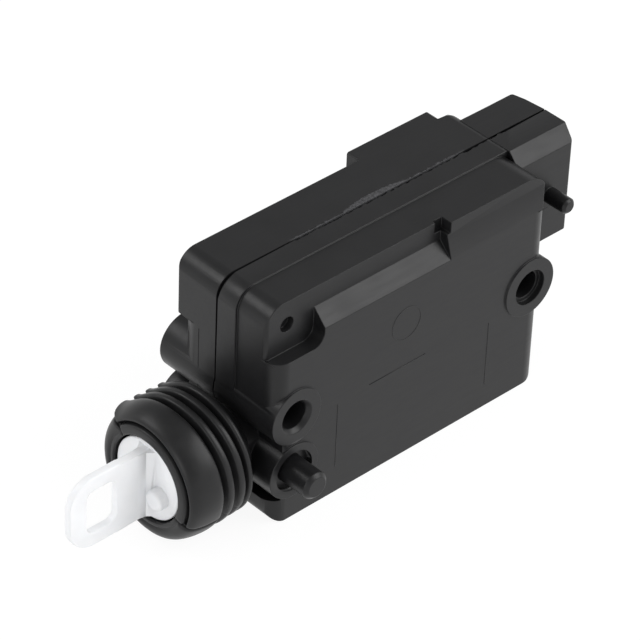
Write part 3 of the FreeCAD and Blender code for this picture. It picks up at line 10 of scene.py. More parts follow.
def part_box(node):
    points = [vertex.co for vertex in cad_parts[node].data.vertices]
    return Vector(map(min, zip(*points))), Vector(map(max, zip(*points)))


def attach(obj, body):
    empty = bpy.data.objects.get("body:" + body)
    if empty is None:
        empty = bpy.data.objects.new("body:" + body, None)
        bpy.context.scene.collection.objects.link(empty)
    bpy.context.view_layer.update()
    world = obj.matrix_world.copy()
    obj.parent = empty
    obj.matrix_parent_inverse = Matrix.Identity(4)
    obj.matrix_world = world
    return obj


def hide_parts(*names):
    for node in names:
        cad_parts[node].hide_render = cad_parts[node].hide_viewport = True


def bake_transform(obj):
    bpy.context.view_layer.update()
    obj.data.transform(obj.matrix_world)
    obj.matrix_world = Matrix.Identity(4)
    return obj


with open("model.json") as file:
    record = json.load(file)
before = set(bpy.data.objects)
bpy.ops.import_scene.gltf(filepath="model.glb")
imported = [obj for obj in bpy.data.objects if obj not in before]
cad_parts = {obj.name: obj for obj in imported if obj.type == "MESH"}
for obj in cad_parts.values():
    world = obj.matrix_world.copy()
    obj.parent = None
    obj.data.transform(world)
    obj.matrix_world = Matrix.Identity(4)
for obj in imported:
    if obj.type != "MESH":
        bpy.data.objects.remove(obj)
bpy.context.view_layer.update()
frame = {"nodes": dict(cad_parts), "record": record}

bl_info = {
    "name": "Door latch actuator",
    "version": (1, 0, 0),
    "blender": (4, 5, 0),
    "location": "View3D > Sidebar > Actuator",
    "description": "Dresses a door latch actuator: housing, bellows, white plunger and the drive inside",
    "category": "Object",
}

MM = 0.001
TINY = 0.004 * MM
SAME_ANGLE = 0.001
BOOT_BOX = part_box("bellows_boot")
HOUSING_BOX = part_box("front_housing")
AXIS_Y = (BOOT_BOX[0].y + BOOT_BOX[1].y) / 2
AXIS_Z = (BOOT_BOX[0].z + BOOT_BOX[1].z) / 2
TOP_Z = HOUSING_BOX[1].z
BOTTOM_Z = HOUSING_BOX[0].z


def linear(code):
    """An sRGB hex colour as the linear values that Blender's sockets take."""
    channels = []
    for start in (1, 3, 5):
        value = int(code[start:start + 2], 16) / 255
        channels.append(value / 12.92 if value <= 0.04045 else ((value + 0.055) / 1.055) ** 2.4)
    return tuple(channels)


# Sizes and colours that a user would change


class HousingSettings(bpy.types.PropertyGroup):
    edge_radius: bpy.props.FloatProperty(
        name="Edge radius", description="Rounding of the moulded edges", default=0.14 * MM, unit="LENGTH")
    sharp_angle: bpy.props.FloatProperty(
        name="Sharp angle", description="Edges steeper than this are rounded", default=math.radians(32),
        subtype="ANGLE")
    body_left: bpy.props.FloatProperty(
        name="Body's left end", description="End wall beside the left mounting hole", default=-6.1 * MM,
        unit="LENGTH")
    seam_gap: bpy.props.FloatProperty(
        name="Seam gap", description="Width of the open line between the halves", default=0.34 * MM,
        unit="LENGTH")
    seam_depth: bpy.props.FloatProperty(
        name="Seam depth", description="Depth of the open line between the halves", default=0.9 * MM,
        unit="LENGTH")
    corner_gap: bpy.props.FloatProperty(
        name="Corner gap", description="How much wider the seam gapes at the top left corner",
        default=0.6 * MM, unit="LENGTH")
    colour: bpy.props.FloatVectorProperty(
        name="Colour", description="Black of the moulded halves", default=linear("#19191a"), subtype="COLOR")


class FlashSettings(bpy.types.PropertyGroup):
    start: bpy.props.FloatProperty(
        name="Start", description="Where the weld flash begins along the seam", default=14.3 * MM,
        unit="LENGTH")
    end: bpy.props.FloatProperty(
        name="End", description="Where the weld flash ends along the seam", default=62.0 * MM, unit="LENGTH")
    width: bpy.props.FloatProperty(
        name="Width", description="Width of the torn edge beside the seam", default=0.34 * MM, unit="LENGTH")
    drop: bpy.props.FloatProperty(
        name="Drop", description="How far the torn edge falls to the seam", default=0.2 * MM, unit="LENGTH")
    smear_start: bpy.props.FloatProperty(
        name="Smear start", description="Where the flash widens to a smear", default=27.5 * MM,
        unit="LENGTH")
    smear_end: bpy.props.FloatProperty(
        name="Smear end", description="Where the smear ends", default=45.5 * MM, unit="LENGTH")
    smear_width: bpy.props.FloatProperty(
        name="Smear width", description="Width of the smear on the cover's side", default=1.15 * MM,
        unit="LENGTH")


class BootSettings(bpy.types.PropertyGroup):
    parting_angle: bpy.props.FloatProperty(
        name="Parting angle", description="Direction of the parting line round the boot, from +Y to +Z",
        default=math.radians(37), subtype="ANGLE")
    parting_offset: bpy.props.FloatProperty(
        name="Parting offset", description="How far each end of the parting line lies inside a straight one",
        default=math.radians(10), subtype="ANGLE")
    crease_depth: bpy.props.FloatProperty(
        name="Crease depth", description="Depth of the parting crease in the front lobe", default=0.9 * MM,
        unit="LENGTH")
    lean: bpy.props.FloatProperty(
        name="Lean", description="How far the soft folds lean back at their lower side", default=1.15 * MM,
        unit="LENGTH")
    swell: bpy.props.FloatProperty(
        name="Swell", description="How far the folds stand out of round at their upper side",
        default=0.6 * MM, unit="LENGTH")
    flash_height: bpy.props.FloatProperty(
        name="Flash height", description="Height of the mould's flash on the upper half's crests",
        default=1.6 * MM, unit="LENGTH")
    unevenness: bpy.props.FloatProperty(
        name="Unevenness", description="Wander of the soft folds", default=0.16 * MM, unit="LENGTH")
    colour: bpy.props.FloatVectorProperty(
        name="Colour", description="Black of the rubber", default=linear("#161617"), subtype="COLOR")


class PlungerSettings(bpy.types.PropertyGroup):
    edge_radius: bpy.props.FloatProperty(
        name="Edge radius", description="Rounding of the plunger's edges", default=0.3 * MM, unit="LENGTH")
    flange_plane: bpy.props.FloatProperty(
        name="Flange plane", description="Front face of the plunger's flange", default=-26.1 * MM,
        unit="LENGTH")
    pin_y: bpy.props.FloatProperty(
        name="Pin across", description="Middle of the flange's pin across the part", default=-7.2 * MM,
        unit="LENGTH")
    pin_z: bpy.props.FloatProperty(
        name="Pin height", description="Height of the flange's pin", default=-13.0 * MM, unit="LENGTH")
    flare_length: bpy.props.FloatProperty(
        name="Flare length", description="Length of the tab's widening at its root", default=3.6 * MM,
        unit="LENGTH")
    colour: bpy.props.FloatVectorProperty(
        name="Colour", description="White of the plunger", default=linear("#f1f2f4"), subtype="COLOR")


class StageSettings(bpy.types.PropertyGroup):
    azimuth: bpy.props.FloatProperty(
        name="Azimuth", description="Camera's direction round the part", default=math.radians(-44.35),
        subtype="ANGLE")
    elevation: bpy.props.FloatProperty(
        name="Elevation", description="Camera's height above the horizon", default=math.radians(37.62),
        subtype="ANGLE")
    roll: bpy.props.FloatProperty(
        name="Roll", description="Camera's tilt about its own axis", default=math.radians(2.473),
        subtype="ANGLE")
    lens: bpy.props.FloatProperty(
        name="Lens", description="Focal length of the camera in millimetres", default=217.7)
    distance: bpy.props.FloatProperty(
        name="Distance", description="From the corner of the seam to the camera along its view",
        default=751.456 * MM, unit="LENGTH")
    ceiling: bpy.props.FloatProperty(
        name="Ceiling", description="Brightness of the studio above; the horizon is white", default=0.5)


# Materials


def add_node(tree, kind, inputs=None, **settings):
    """Adds a node, sets its own values, and gives its inputs a value or a link."""
    node = tree.nodes.new(kind)
    for name, value in settings.items():
        setattr(node, name, value)
    for name, value in (inputs or {}).items():
        if isinstance(value, bpy.types.NodeSocket):
            tree.links.new(value, node.inputs[name])
        else:
            node.inputs[name].default_value = value
    return node


def new_material(name):
    """An empty node material with its output and the object's own coordinates."""
    material = bpy.data.materials.new(name)
    material.use_nodes = True
    tree = material.node_tree
    tree.nodes.clear()
    output = add_node(tree, "ShaderNodeOutputMaterial")
    place = add_node(tree, "ShaderNodeTexCoord").outputs["Object"]
    return material, tree, output, place


def grain(tree, place, size, detail=3.0, rough=0.55):
    """Noise whose lumps are about the given real size."""
    return add_node(tree, "ShaderNodeTexNoise", {
        "Vector": place, "Scale": 1 / size, "Detail": detail, "Roughness": rough}).outputs["Fac"]


def spread(tree, factor, low, high, start=0.3, end=0.7):
    """A pattern's values mapped to a range."""
    return add_node(tree, "ShaderNodeMapRange", {
        "Value": factor, "From Min": start, "From Max": end,
        "To Min": low, "To Max": high}).outputs["Result"]


def two_tone(tree, factor, first, second):
    """Colour between two, by a pattern."""
    mix = add_node(tree, "ShaderNodeMix", {"Factor": factor}, data_type="RGBA")
    mix.inputs[6].default_value = (*first, 1)
    mix.inputs[7].default_value = (*second, 1)
    return mix.outputs[2]


def shade(colour, factor):
    """A colour made darker or lighter by a factor."""
    return tuple(channel * factor for channel in colour)


def calculated(tree, operation, first, second):
    """One step of arithmetic on patterns."""
    return add_node(tree, "ShaderNodeMath", {0: first, 1: second}, operation=operation).outputs[0]


def smear_mask(tree, place, flash):
    """1 where the weld's flash lies on the cover beside the top seam, with a ragged edge."""
    raggedness = 0.3 * MM
    soft_edge = 0.12 * MM
    parts = add_node(tree, "ShaderNodeSeparateXYZ", {0: place}).outputs
    middle = (flash.smear_start + flash.smear_end) / 2
    half = (flash.smear_end - flash.smear_start) / 2
    along = calculated(tree, "DIVIDE", calculated(tree, "SUBTRACT", parts[0], middle), half)
    bulge = calculated(tree, "SUBTRACT", 1.0, calculated(tree, "POWER", along, 2.0))
    bulge = calculated(tree, "MAXIMUM", bulge, 0.0)
    ragged = spread(tree, grain(tree, place, 0.7 * MM, 4.0, 0.7), -raggedness, raggedness)
    width = calculated(tree, "ADD", calculated(tree, "MULTIPLY", bulge, flash.smear_width), flash.width)
    edge = calculated(tree, "SUBTRACT", calculated(tree, "ADD", width, ragged), parts[1])
    inside = spread(tree, edge, 0, 1, 0.0, soft_edge)
    # Each fade runs from 0 to 1 between two places on one axis: up to the top, along the seam, across it.
    fades = (
        (TOP_Z - 0.6 * MM, TOP_Z - 0.5 * MM, 2),
        (flash.start - 1.5 * MM, flash.start + 1.5 * MM, 0),
        (-0.2 * MM, -0.1 * MM, 1),
    )
    for low, high, part in fades:
        inside = calculated(tree, "MULTIPLY", inside, spread(tree, parts[part], 0, 1, low, high))
    return calculated(tree, "MULTIPLY", inside, spread(tree, parts[0], 1, 0, flash.end - 4 * MM, flash.end))


def moulded_abs(name, colour, flash=None):
    """Black ABS, injection moulded and ultrasonically welded: a satin skin with a fine spark-eroded
    grain, slightly greyer in cloudy patches, with faint streaks along the flow. Beside the weld it is
    torn and rough, and paler: partly whitened ABS, and partly a painted highlight where the torn edge
    catches light."""
    material, tree, output, place = new_material(name)
    clouds = grain(tree, place, 9 * MM, 2.0)
    # The real grain is about 0.1 mm; it is drawn at 0.3 mm, the finest that shows in the picture.
    fine = grain(tree, place, 0.3 * MM, 2.0)
    streak_place = add_node(tree, "ShaderNodeMapping", {
        "Vector": place, "Rotation": Euler((0, 0, math.radians(24))),
        "Scale": (0.12, 1.0, 1.0)}).outputs["Vector"]
    streaks = grain(tree, streak_place, 0.8 * MM, 3.0)
    base = two_tone(tree, spread(tree, clouds, 0, 1), shade(colour, 0.86), shade(colour, 1.14))
    gloss = calculated(tree, "ADD", spread(tree, streaks, -0.03, 0.03), spread(tree, clouds, 0.34, 0.42))
    bump = add_node(tree, "ShaderNodeBump", {
        "Strength": 0.3, "Distance": 0.02 * MM, "Height": fine}).outputs["Normal"]
    bump = add_node(tree, "ShaderNodeBump", {
        "Strength": 0.15, "Distance": 0.03 * MM, "Height": streaks, "Normal": bump}).outputs["Normal"]
    if flash:
        mask = smear_mask(tree, place, flash)
        torn = grain(tree, place, 0.45 * MM, 4.0, 0.7)
        # Between a little and much paler than the skin. Torn ABS whitens, and the paleness also paints in
        # the highlight that the torn edge catches.
        mix = add_node(tree, "ShaderNodeMix", {"Factor": mask}, data_type="RGBA")
        tree.links.new(base, mix.inputs[6])
        whitened_and_painted_highlight = two_tone(tree, spread(tree, torn, 0, 1), shade(colour, 1.8), shade(colour, 9.5))
        tree.links.new(whitened_and_painted_highlight, mix.inputs[7])
        base = mix.outputs[2]
        gloss = calculated(tree, "ADD", gloss, calculated(tree, "MULTIPLY", mask, 0.2))
        bump = add_node(tree, "ShaderNodeBump", {
            "Strength": 0.9, "Distance": 0.12 * MM, "Height": calculated(tree, "MULTIPLY", torn, mask),
            "Normal": bump}).outputs["Normal"]
    shader = add_node(tree, "ShaderNodeBsdfPrincipled", {
        "Base Color": base, "Roughness": gloss, "IOR": 1.5, "Specular IOR Level": 0.3, "Normal": bump})
    tree.links.new(shader.outputs[0], output.inputs["Surface"])
    return material


def moulded_rubber(name, colour, roughness):
    """Black rubber, compression moulded: duller than the plastic, with a soft bloom and fine pits."""
    material, tree, output, place = new_material(name)
    bloom = grain(tree, place, 4 * MM, 3.0)
    pits = grain(tree, place, 0.45 * MM, 2.0)
    base = two_tone(tree, spread(tree, bloom, 0, 1), shade(colour, 0.8), shade(colour, 1.25))
    bump = add_node(tree, "ShaderNodeBump", {
        "Strength": 0.2, "Distance": 0.02 * MM, "Height": pits}).outputs["Normal"]
    shader = add_node(tree, "ShaderNodeBsdfPrincipled", {
        "Base Color": base, "Roughness": spread(tree, bloom, roughness - 0.04, roughness + 0.05),
        "IOR": 1.52, "Specular IOR Level": 0.3, "Sheen Weight": 0.02, "Sheen Roughness": 0.5,
        "Normal": bump})
    tree.links.new(shader.outputs[0], output.inputs["Surface"])
    return material


def moulded_acetal(name, colour, roughness=0.36):
    """White acetal or nylon, injection moulded: waxy, and lets a little light in at thin edges."""
    material, tree, output, place = new_material(name)
    clouds = grain(tree, place, 6 * MM, 2.0)
    fine = grain(tree, place, 0.35 * MM, 2.0)
    base = two_tone(tree, spread(tree, clouds, 0, 1), shade(colour, 0.95), colour)
    bump = add_node(tree, "ShaderNodeBump", {
        "Strength": 0.08, "Distance": 0.02 * MM, "Height": fine}).outputs["Normal"]
    shader = add_node(tree, "ShaderNodeBsdfPrincipled", {
        "Base Color": base, "Roughness": spread(tree, clouds, roughness - 0.04, roughness + 0.06),
        "IOR": 1.48, "Specular IOR Level": 0.5, "Subsurface Weight": 0.25,
        "Subsurface Radius": (1.0, 0.95, 0.9), "Subsurface Scale": 1.2 * MM, "Normal": bump})
    tree.links.new(shader.outputs[0], output.inputs["Surface"])
    return material


def worked_metal(name, colour, roughness, line_width, axis):
    """A metal with the fine lines that its working left, which run along the given axis, and a slightly
    darker film in patches."""
    material, tree, output, place = new_material(name)
    stretch = [1.0, 1.0, 1.0]
    # The pattern is drawn out 25 times along the lines.
    stretch["xyz".index(axis)] = 0.04
    drawn = add_node(tree, "ShaderNodeMapping", {
        "Vector": place, "Scale": tuple(stretch)}).outputs["Vector"]
    lines = grain(tree, drawn, line_width, 2.0)
    tarnish = grain(tree, place, 3 * MM, 3.0)
    base = two_tone(tree, spread(tree, tarnish, 0, 1), shade(colour, 0.8), colour)
    bump = add_node(tree, "ShaderNodeBump", {
        "Strength": 0.15, "Distance": 0.01 * MM, "Height": lines}).outputs["Normal"]
    shader = add_node(tree, "ShaderNodeBsdfPrincipled", {
        "Base Color": base, "Metallic": 1.0,
        "Roughness": spread(tree, lines, roughness - 0.06, roughness + 0.08), "Normal": bump})
    tree.links.new(shader.outputs[0], output.inputs["Surface"])
    return material


def wound_copper():
    """Enamelled copper wire laid side by side: glossy reddish bands."""
    # The wire is 0.3 mm thick. The texture repeats every two pi of what its scale is worked out from, so the
    # bands lie 1.9 mm apart, which is coarser than the wire and shows.
    wire = 0.3 * MM
    material, tree, output, place = new_material("enamelled_copper_wire")
    bands = add_node(tree, "ShaderNodeTexWave", {
        "Vector": place, "Scale": 1 / (wire * 20), "Distortion": 0.6, "Detail": 1.0},
        wave_type="BANDS", bands_direction="Z").outputs["Fac"]
    base = two_tone(tree, bands, linear("#7c3f22"), linear("#c47a4c"))
    bump = add_node(tree, "ShaderNodeBump", {
        "Strength": 0.5, "Distance": 0.1 * MM, "Height": bands}).outputs["Normal"]
    shader = add_node(tree, "ShaderNodeBsdfPrincipled", {
        "Base Color": base, "Metallic": 1.0, "Roughness": 0.3, "Coat Weight": 0.6, "Coat Roughness": 0.15,
        "Normal": bump})
    tree.links.new(shader.outputs[0], output.inputs["Surface"])
    return material


def pressed_ceramic(name, colour, roughness):
    """Ferrite, pressed and fired, and likewise carbon: dark, dull and faintly speckled."""
    material, tree, output, place = new_material(name)
    specks = grain(tree, place, 0.5 * MM, 4.0, 0.7)
    base = two_tone(tree, spread(tree, specks, 0, 1), shade(colour, 0.7), shade(colour, 1.3))
    bump = add_node(tree, "ShaderNodeBump", {
        "Strength": 0.3, "Distance": 0.02 * MM, "Height": specks}).outputs["Normal"]
    shader = add_node(tree, "ShaderNodeBsdfPrincipled", {
        "Base Color": base, "Roughness": spread(tree, specks, roughness - 0.08, roughness + 0.08),
        "IOR": 1.7, "Normal": bump})
    tree.links.new(shader.outputs[0], output.inputs["Surface"])
    return material


# Mesh tools


def ramp(value, length):
    """0 for a value below 0, rising to 1 over the length."""
    return min(1.0, max(0.0, value / length))


def bevel_edges(bm, edges, radius, segments):
    """Rounds the given edges by a constant radius."""
    bmesh.ops.bevel(bm, geom=edges, offset=radius, offset_type="OFFSET", affect="EDGES",
                    segments=segments, profile=0.5, material=-1, clamp_overlap=False, loop_slide=True)


def finished(name, bm, material, smooth_angle=None):
    """Turns a bmesh into an object of the scene and gives it its material."""
    bmesh.ops.recalc_face_normals(bm, faces=bm.faces)
    mesh = bpy.data.meshes.new(name)
    bm.to_mesh(mesh)
    bm.free()
    mesh.shade_smooth()
    if smooth_angle is not None:
        mesh.set_sharp_from_angle(angle=smooth_angle)
    piece = bpy.data.objects.new(name, mesh)
    bpy.context.scene.collection.objects.link(piece)
    piece.data.materials.append(material)
    return piece


def merged_copy(node):
    """The CAD node's surface as one closed bmesh of flat faces."""
    bm = bmesh.new()
    bm.from_mesh(frame["nodes"][node].data)
    bmesh.ops.remove_doubles(bm, verts=bm.verts, dist=0.001 * MM)
    bmesh.ops.dissolve_limit(bm, angle_limit=math.radians(0.6), verts=bm.verts, edges=bm.edges)
    return bm


def surface_of(nodes):
    """Search tree over the surfaces of several CAD nodes."""
    bm = bmesh.new()
    for node in nodes:
        bm.from_mesh(frame["nodes"][node].data)
    tree = BVHTree.FromBMesh(bm)
    bm.free()
    return tree


def faces_outside(edge, surface):
    """True if nothing stands in front of the edge."""
    clear_mm = 0.02
    middle = (edge.verts[0].co + edge.verts[1].co) / 2
    outward = sum((face.normal for face in edge.link_faces), Vector()).normalized()
    hit = surface.ray_cast(middle + outward * clear_mm * MM, outward)[0]
    return hit is None


def round_edges(bm, radius, sharp_angle, surface):
    """Rounds the sharp edges that can be seen from outside, and keeps the top and bottom where they are."""
    sharp = [
        edge for edge in bm.edges
        if edge.is_manifold and edge.calc_face_angle() > sharp_angle and faces_outside(edge, surface)
        and not all(abs(vert.co.y) < TINY for vert in edge.verts)
    ]
    bevel_edges(bm, sharp, radius, 2)
    for vert in bm.verts:
        vert.co.z = min(max(vert.co.z, BOTTOM_Z), TOP_Z)


# Operators


class ACTUATOR_OT_housing(bpy.types.Operator):
    """Rounds the moulded edges of both housing halves, opens the seam and tears its weld"""
    bl_idname = "actuator.housing"
    bl_label = "Housing"

    # The top edge is cut into slices from before the weld's flash to past its end, to be torn.
    BEFORE_FLASH = 4 * MM
    PAST_FLASH = 12 * MM
    SLICE = 0.32 * MM
    # Round the top left corner: how far from the end wall and the top the gap's middle lies, and its reach.
    CORNER_INSET = 1.3 * MM
    CORNER_REACH = 4.2 * MM

    def execute(self, context):
        settings = context.scene.actuator_housing
        flash = context.scene.actuator_flash
        surface = surface_of(["front_housing", "rear_cover"])

        front = merged_copy("front_housing")
        self.cut_mating_face(front)
        round_edges(front, settings.edge_radius, settings.sharp_angle, surface)
        self.open_seam(front, settings, surface)
        strip = self.sliced_strip(front, -settings.seam_gap, flash)
        self.tear_front(strip, flash)
        self.gape_at_corner(front, settings)
        plain = moulded_abs("black_moulded_abs", settings.colour)
        self.fit(front, "moulded_front", "front_housing", plain)

        cover = merged_copy("rear_cover")
        round_edges(cover, settings.edge_radius, settings.sharp_angle, surface)
        bmesh.ops.bisect_plane(cover, geom=cover.verts[:] + cover.edges[:] + cover.faces[:],
                               plane_co=(0, flash.width, 0), plane_no=(0, 1, 0), dist=TINY)
        strip = self.sliced_strip(cover, flash.width, flash)
        self.tear_cover(strip, flash)
        smeared = moulded_abs("black_abs_with_weld_smear", settings.colour, flash)
        self.fit(cover, "moulded_cover", "rear_cover", smeared)
        return {"FINISHED"}

    def fit(self, bm, name, node, plastic):
        """Puts a half in the scene in place of its CAD node."""
        piece = finished(name, bm, plastic, math.radians(40))
        piece.modifiers.new("Even shading", "WEIGHTED_NORMAL").keep_sharp = True
        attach(piece, "housing")
        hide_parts(node)

    def cut_mating_face(self, bm):
        """Splits the mating face into triangles, so that it can't fold when its rim moves."""
        mating = [
            face for face in bm.faces
            if face.normal.y > 0.9 and all(abs(vert.co.y) < TINY for vert in face.verts)
        ]
        bmesh.ops.triangulate(bm, faces=mating)

    def open_seam(self, bm, settings, surface):
        """Draws the rim of the mating face inwards, so that a dark line stays open between the halves."""
        bmesh.ops.bisect_plane(bm, geom=bm.verts[:] + bm.edges[:] + bm.faces[:],
                               plane_co=(0, -settings.seam_gap, 0), plane_no=(0, 1, 0), dist=TINY)
        for vert, inward in self.outer_rim(bm, surface).items():
            vert.co += inward * settings.seam_depth

    def gape_at_corner(self, bm, settings):
        """Widens the open seam round the top left corner."""
        reach = self.CORNER_REACH
        corner = Vector((settings.body_left + self.CORNER_INSET, 0, TOP_Z - self.CORNER_INSET))
        for vert in bm.verts:
            away = math.hypot(vert.co.x - corner.x, vert.co.z - corner.z)
            if abs(vert.co.y + settings.seam_gap) < TINY and away < reach:
                vert.co.y -= settings.corner_gap * (1 - (away / reach) ** 2)

    def outer_rim(self, bm, surface):
        """The mating face's outer vertices, each with its direction into the wall."""
        # The rays start just outside the wall, a little in front of the seam, and fan out in radians. The
        # wall is an outer one if at least two of the three meet nothing.
        clear_mm = 0.05
        fan = 0.5
        rim = {}
        for edge in bm.edges:
            walls = [face for face in edge.link_faces if abs(face.normal.y) < 0.5]
            if len(walls) != 1 or not all(abs(vert.co.y) < TINY for vert in edge.verts):
                continue
            outward = walls[0].normal
            middle = (edge.verts[0].co + edge.verts[1].co) / 2
            start = middle + outward * clear_mm * MM - Vector((0, clear_mm * MM, 0))
            rays = [Matrix.Rotation(turn, 3, "Y") @ outward for turn in (-fan, 0, fan)]
            if sum(surface.ray_cast(start, ray)[0] is None for ray in rays) > 1:
                for vert in edge.verts:
                    rim[vert] = rim.get(vert, Vector()) - outward
        return {vert: inward.normalized() for vert, inward in rim.items()}

    def sliced_strip(self, bm, far, flash):
        """Cuts the strip of the top beside the seam into short lengths and returns its vertices."""
        low, high = min(0, far) - TINY, max(0, far) + TINY
        bottom = TOP_Z - 1.2 * MM
        parts = set()
        for face in bm.faces:
            beside_seam = all(low < vert.co.y < high and vert.co.z > bottom for vert in face.verts)
            if face.normal.z > 0.2 and beside_seam:
                parts.update([face], face.edges, face.verts)
        parts = list(parts)
        place = flash.start - self.BEFORE_FLASH
        while place < flash.end + self.PAST_FLASH:
            parts = bmesh.ops.bisect_plane(bm, geom=parts, plane_co=(place, 0, 0), plane_no=(1, 0, 0),
                                           dist=TINY)["geom"]
            place += self.SLICE
        return [part for part in parts if isinstance(part, bmesh.types.BMVert) and part.is_valid]

    def wander(self, vert, lump, row):
        """Noise along the seam, in lumps of the given length; each row is a pattern of its own."""
        return noise.noise(Vector((vert.co.x / lump, row, 0)))

    def tear_front(self, strip, flash):
        """Lets the front edge of the seam wander, with the jog where the weld begins to squeeze out."""
        for vert in strip:
            if vert.co.z < TOP_Z - TINY or vert.co.x < flash.start - self.BEFORE_FLASH:
                continue
            # In mm: how far the edge draws back, and how much it shakes, where it is torn and before that.
            back, shake = (-0.24, 0.36) if vert.co.x > flash.start else (-0.04, 0.06)
            slow = self.wander(vert, 1.6 * MM, 3.1)
            quick = self.wander(vert, 0.5 * MM, 8.4)
            vert.co.y += (back + 0.24 * slow + shake * quick) * MM

    def tear_cover(self, strip, flash):
        """Breaks the cover's edge beside the seam into a ragged chamfer, which fades out at both ends."""
        rise = 1.2 * MM
        fall = 3 * MM
        least_width = 0.03 * MM
        least_share = 0.1
        for vert in strip:
            share = min(ramp(vert.co.x - flash.start + rise, rise), ramp(flash.end - vert.co.x, fall))
            slow = self.wander(vert, 1.1 * MM, 5.7)
            quick = self.wander(vert, 0.4 * MM, 1.3)
            if vert.co.y < TINY:
                vert.co.z -= flash.drop * share * max(least_share, 0.8 + 0.7 * slow + 0.5 * quick)
            elif abs(vert.co.y - flash.width) < TINY:
                width = flash.width * max(least_share, 0.95 + 0.8 * slow + 0.6 * quick)
                vert.co.y = least_width + width * share


class ACTUATOR_OT_mould_marks(bpy.types.Operator):
    """Adds the faint lines that the mould's inserts left on the broad face and the end"""
    bl_idname = "actuator.mould_marks"
    bl_label = "Mould marks"

    def execute(self, context):
        left = context.scene.actuator_housing.body_left
        broad_face = -17.3 * MM
        ring_radius = 3.9 * MM
        # Ends of the lines on the broad face, in mm from the body's left end and down from its top.
        on_face = (
            ((17.6, 29.8), (17.6, 45.7)),
            ((60.0, 30.5), (60.0, 46.5)),
            ((26.2, 29.2), (41.75, 29.2)),
        )
        bm = bmesh.new()
        self.ring(bm, ring_radius, Vector((left + 35.8 * MM, broad_face, TOP_Z - 18.4 * MM)))
        for start, end in on_face:
            self.ridge(bm, Vector((left + start[0] * MM, broad_face, TOP_Z - start[1] * MM)),
                       Vector((left + end[0] * MM, broad_face, TOP_Z - end[1] * MM)))
        # One more stands on the cover's end wall, behind the seam.
        self.ridge(bm, Vector((left, 4.9 * MM, TOP_Z - 15.0 * MM)),
                   Vector((left, 4.9 * MM, TOP_Z - 33.0 * MM)))
        marks = finished("mould_marks", bm, bpy.data.materials["black_moulded_abs"])
        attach(marks, "housing")
        return {"FINISHED"}

    def ridge(self, bm, start, end):
        """Straight ridge, half sunk in the face."""
        width = 0.13 * MM
        length = (end - start).length
        cube = bmesh.ops.create_cube(bm, size=1)["verts"]
        bmesh.ops.scale(bm, verts=cube, vec=(length, width, width))
        edges = {edge for vert in cube for edge in vert.link_edges}
        long_edges = [edge for edge in edges if edge.calc_length() > length / 2]
        made = bmesh.ops.bevel(bm, geom=long_edges, offset=width * 0.3, affect="EDGES", segments=2,
                               profile=0.5, material=-1)
        verts = set(made["verts"]) | {vert for vert in cube if vert.is_valid}
        turn = (end - start).to_track_quat("X", "Z").to_matrix().to_4x4()
        bmesh.ops.transform(bm, verts=list(verts), matrix=Matrix.Translation((start + end) / 2) @ turn)

    def ring(self, bm, radius, centre):
        """Round witness line of an insert, made in an empty bmesh."""
        thickness = 0.06 * MM
        circle = bmesh.ops.create_circle(bm, segments=8, radius=thickness)["verts"]
        bmesh.ops.translate(bm, verts=circle, vec=(radius, 0, 0))
        bmesh.ops.spin(bm, geom=bm.verts[:] + bm.edges[:], cent=(0, 0, 0), axis=(0, 1, 0), angle=math.tau,
                       steps=72, use_merge=True)
        bmesh.ops.remove_doubles(bm, verts=bm.verts, dist=TINY)
        bmesh.ops.translate(bm, verts=bm.verts, vec=centre)


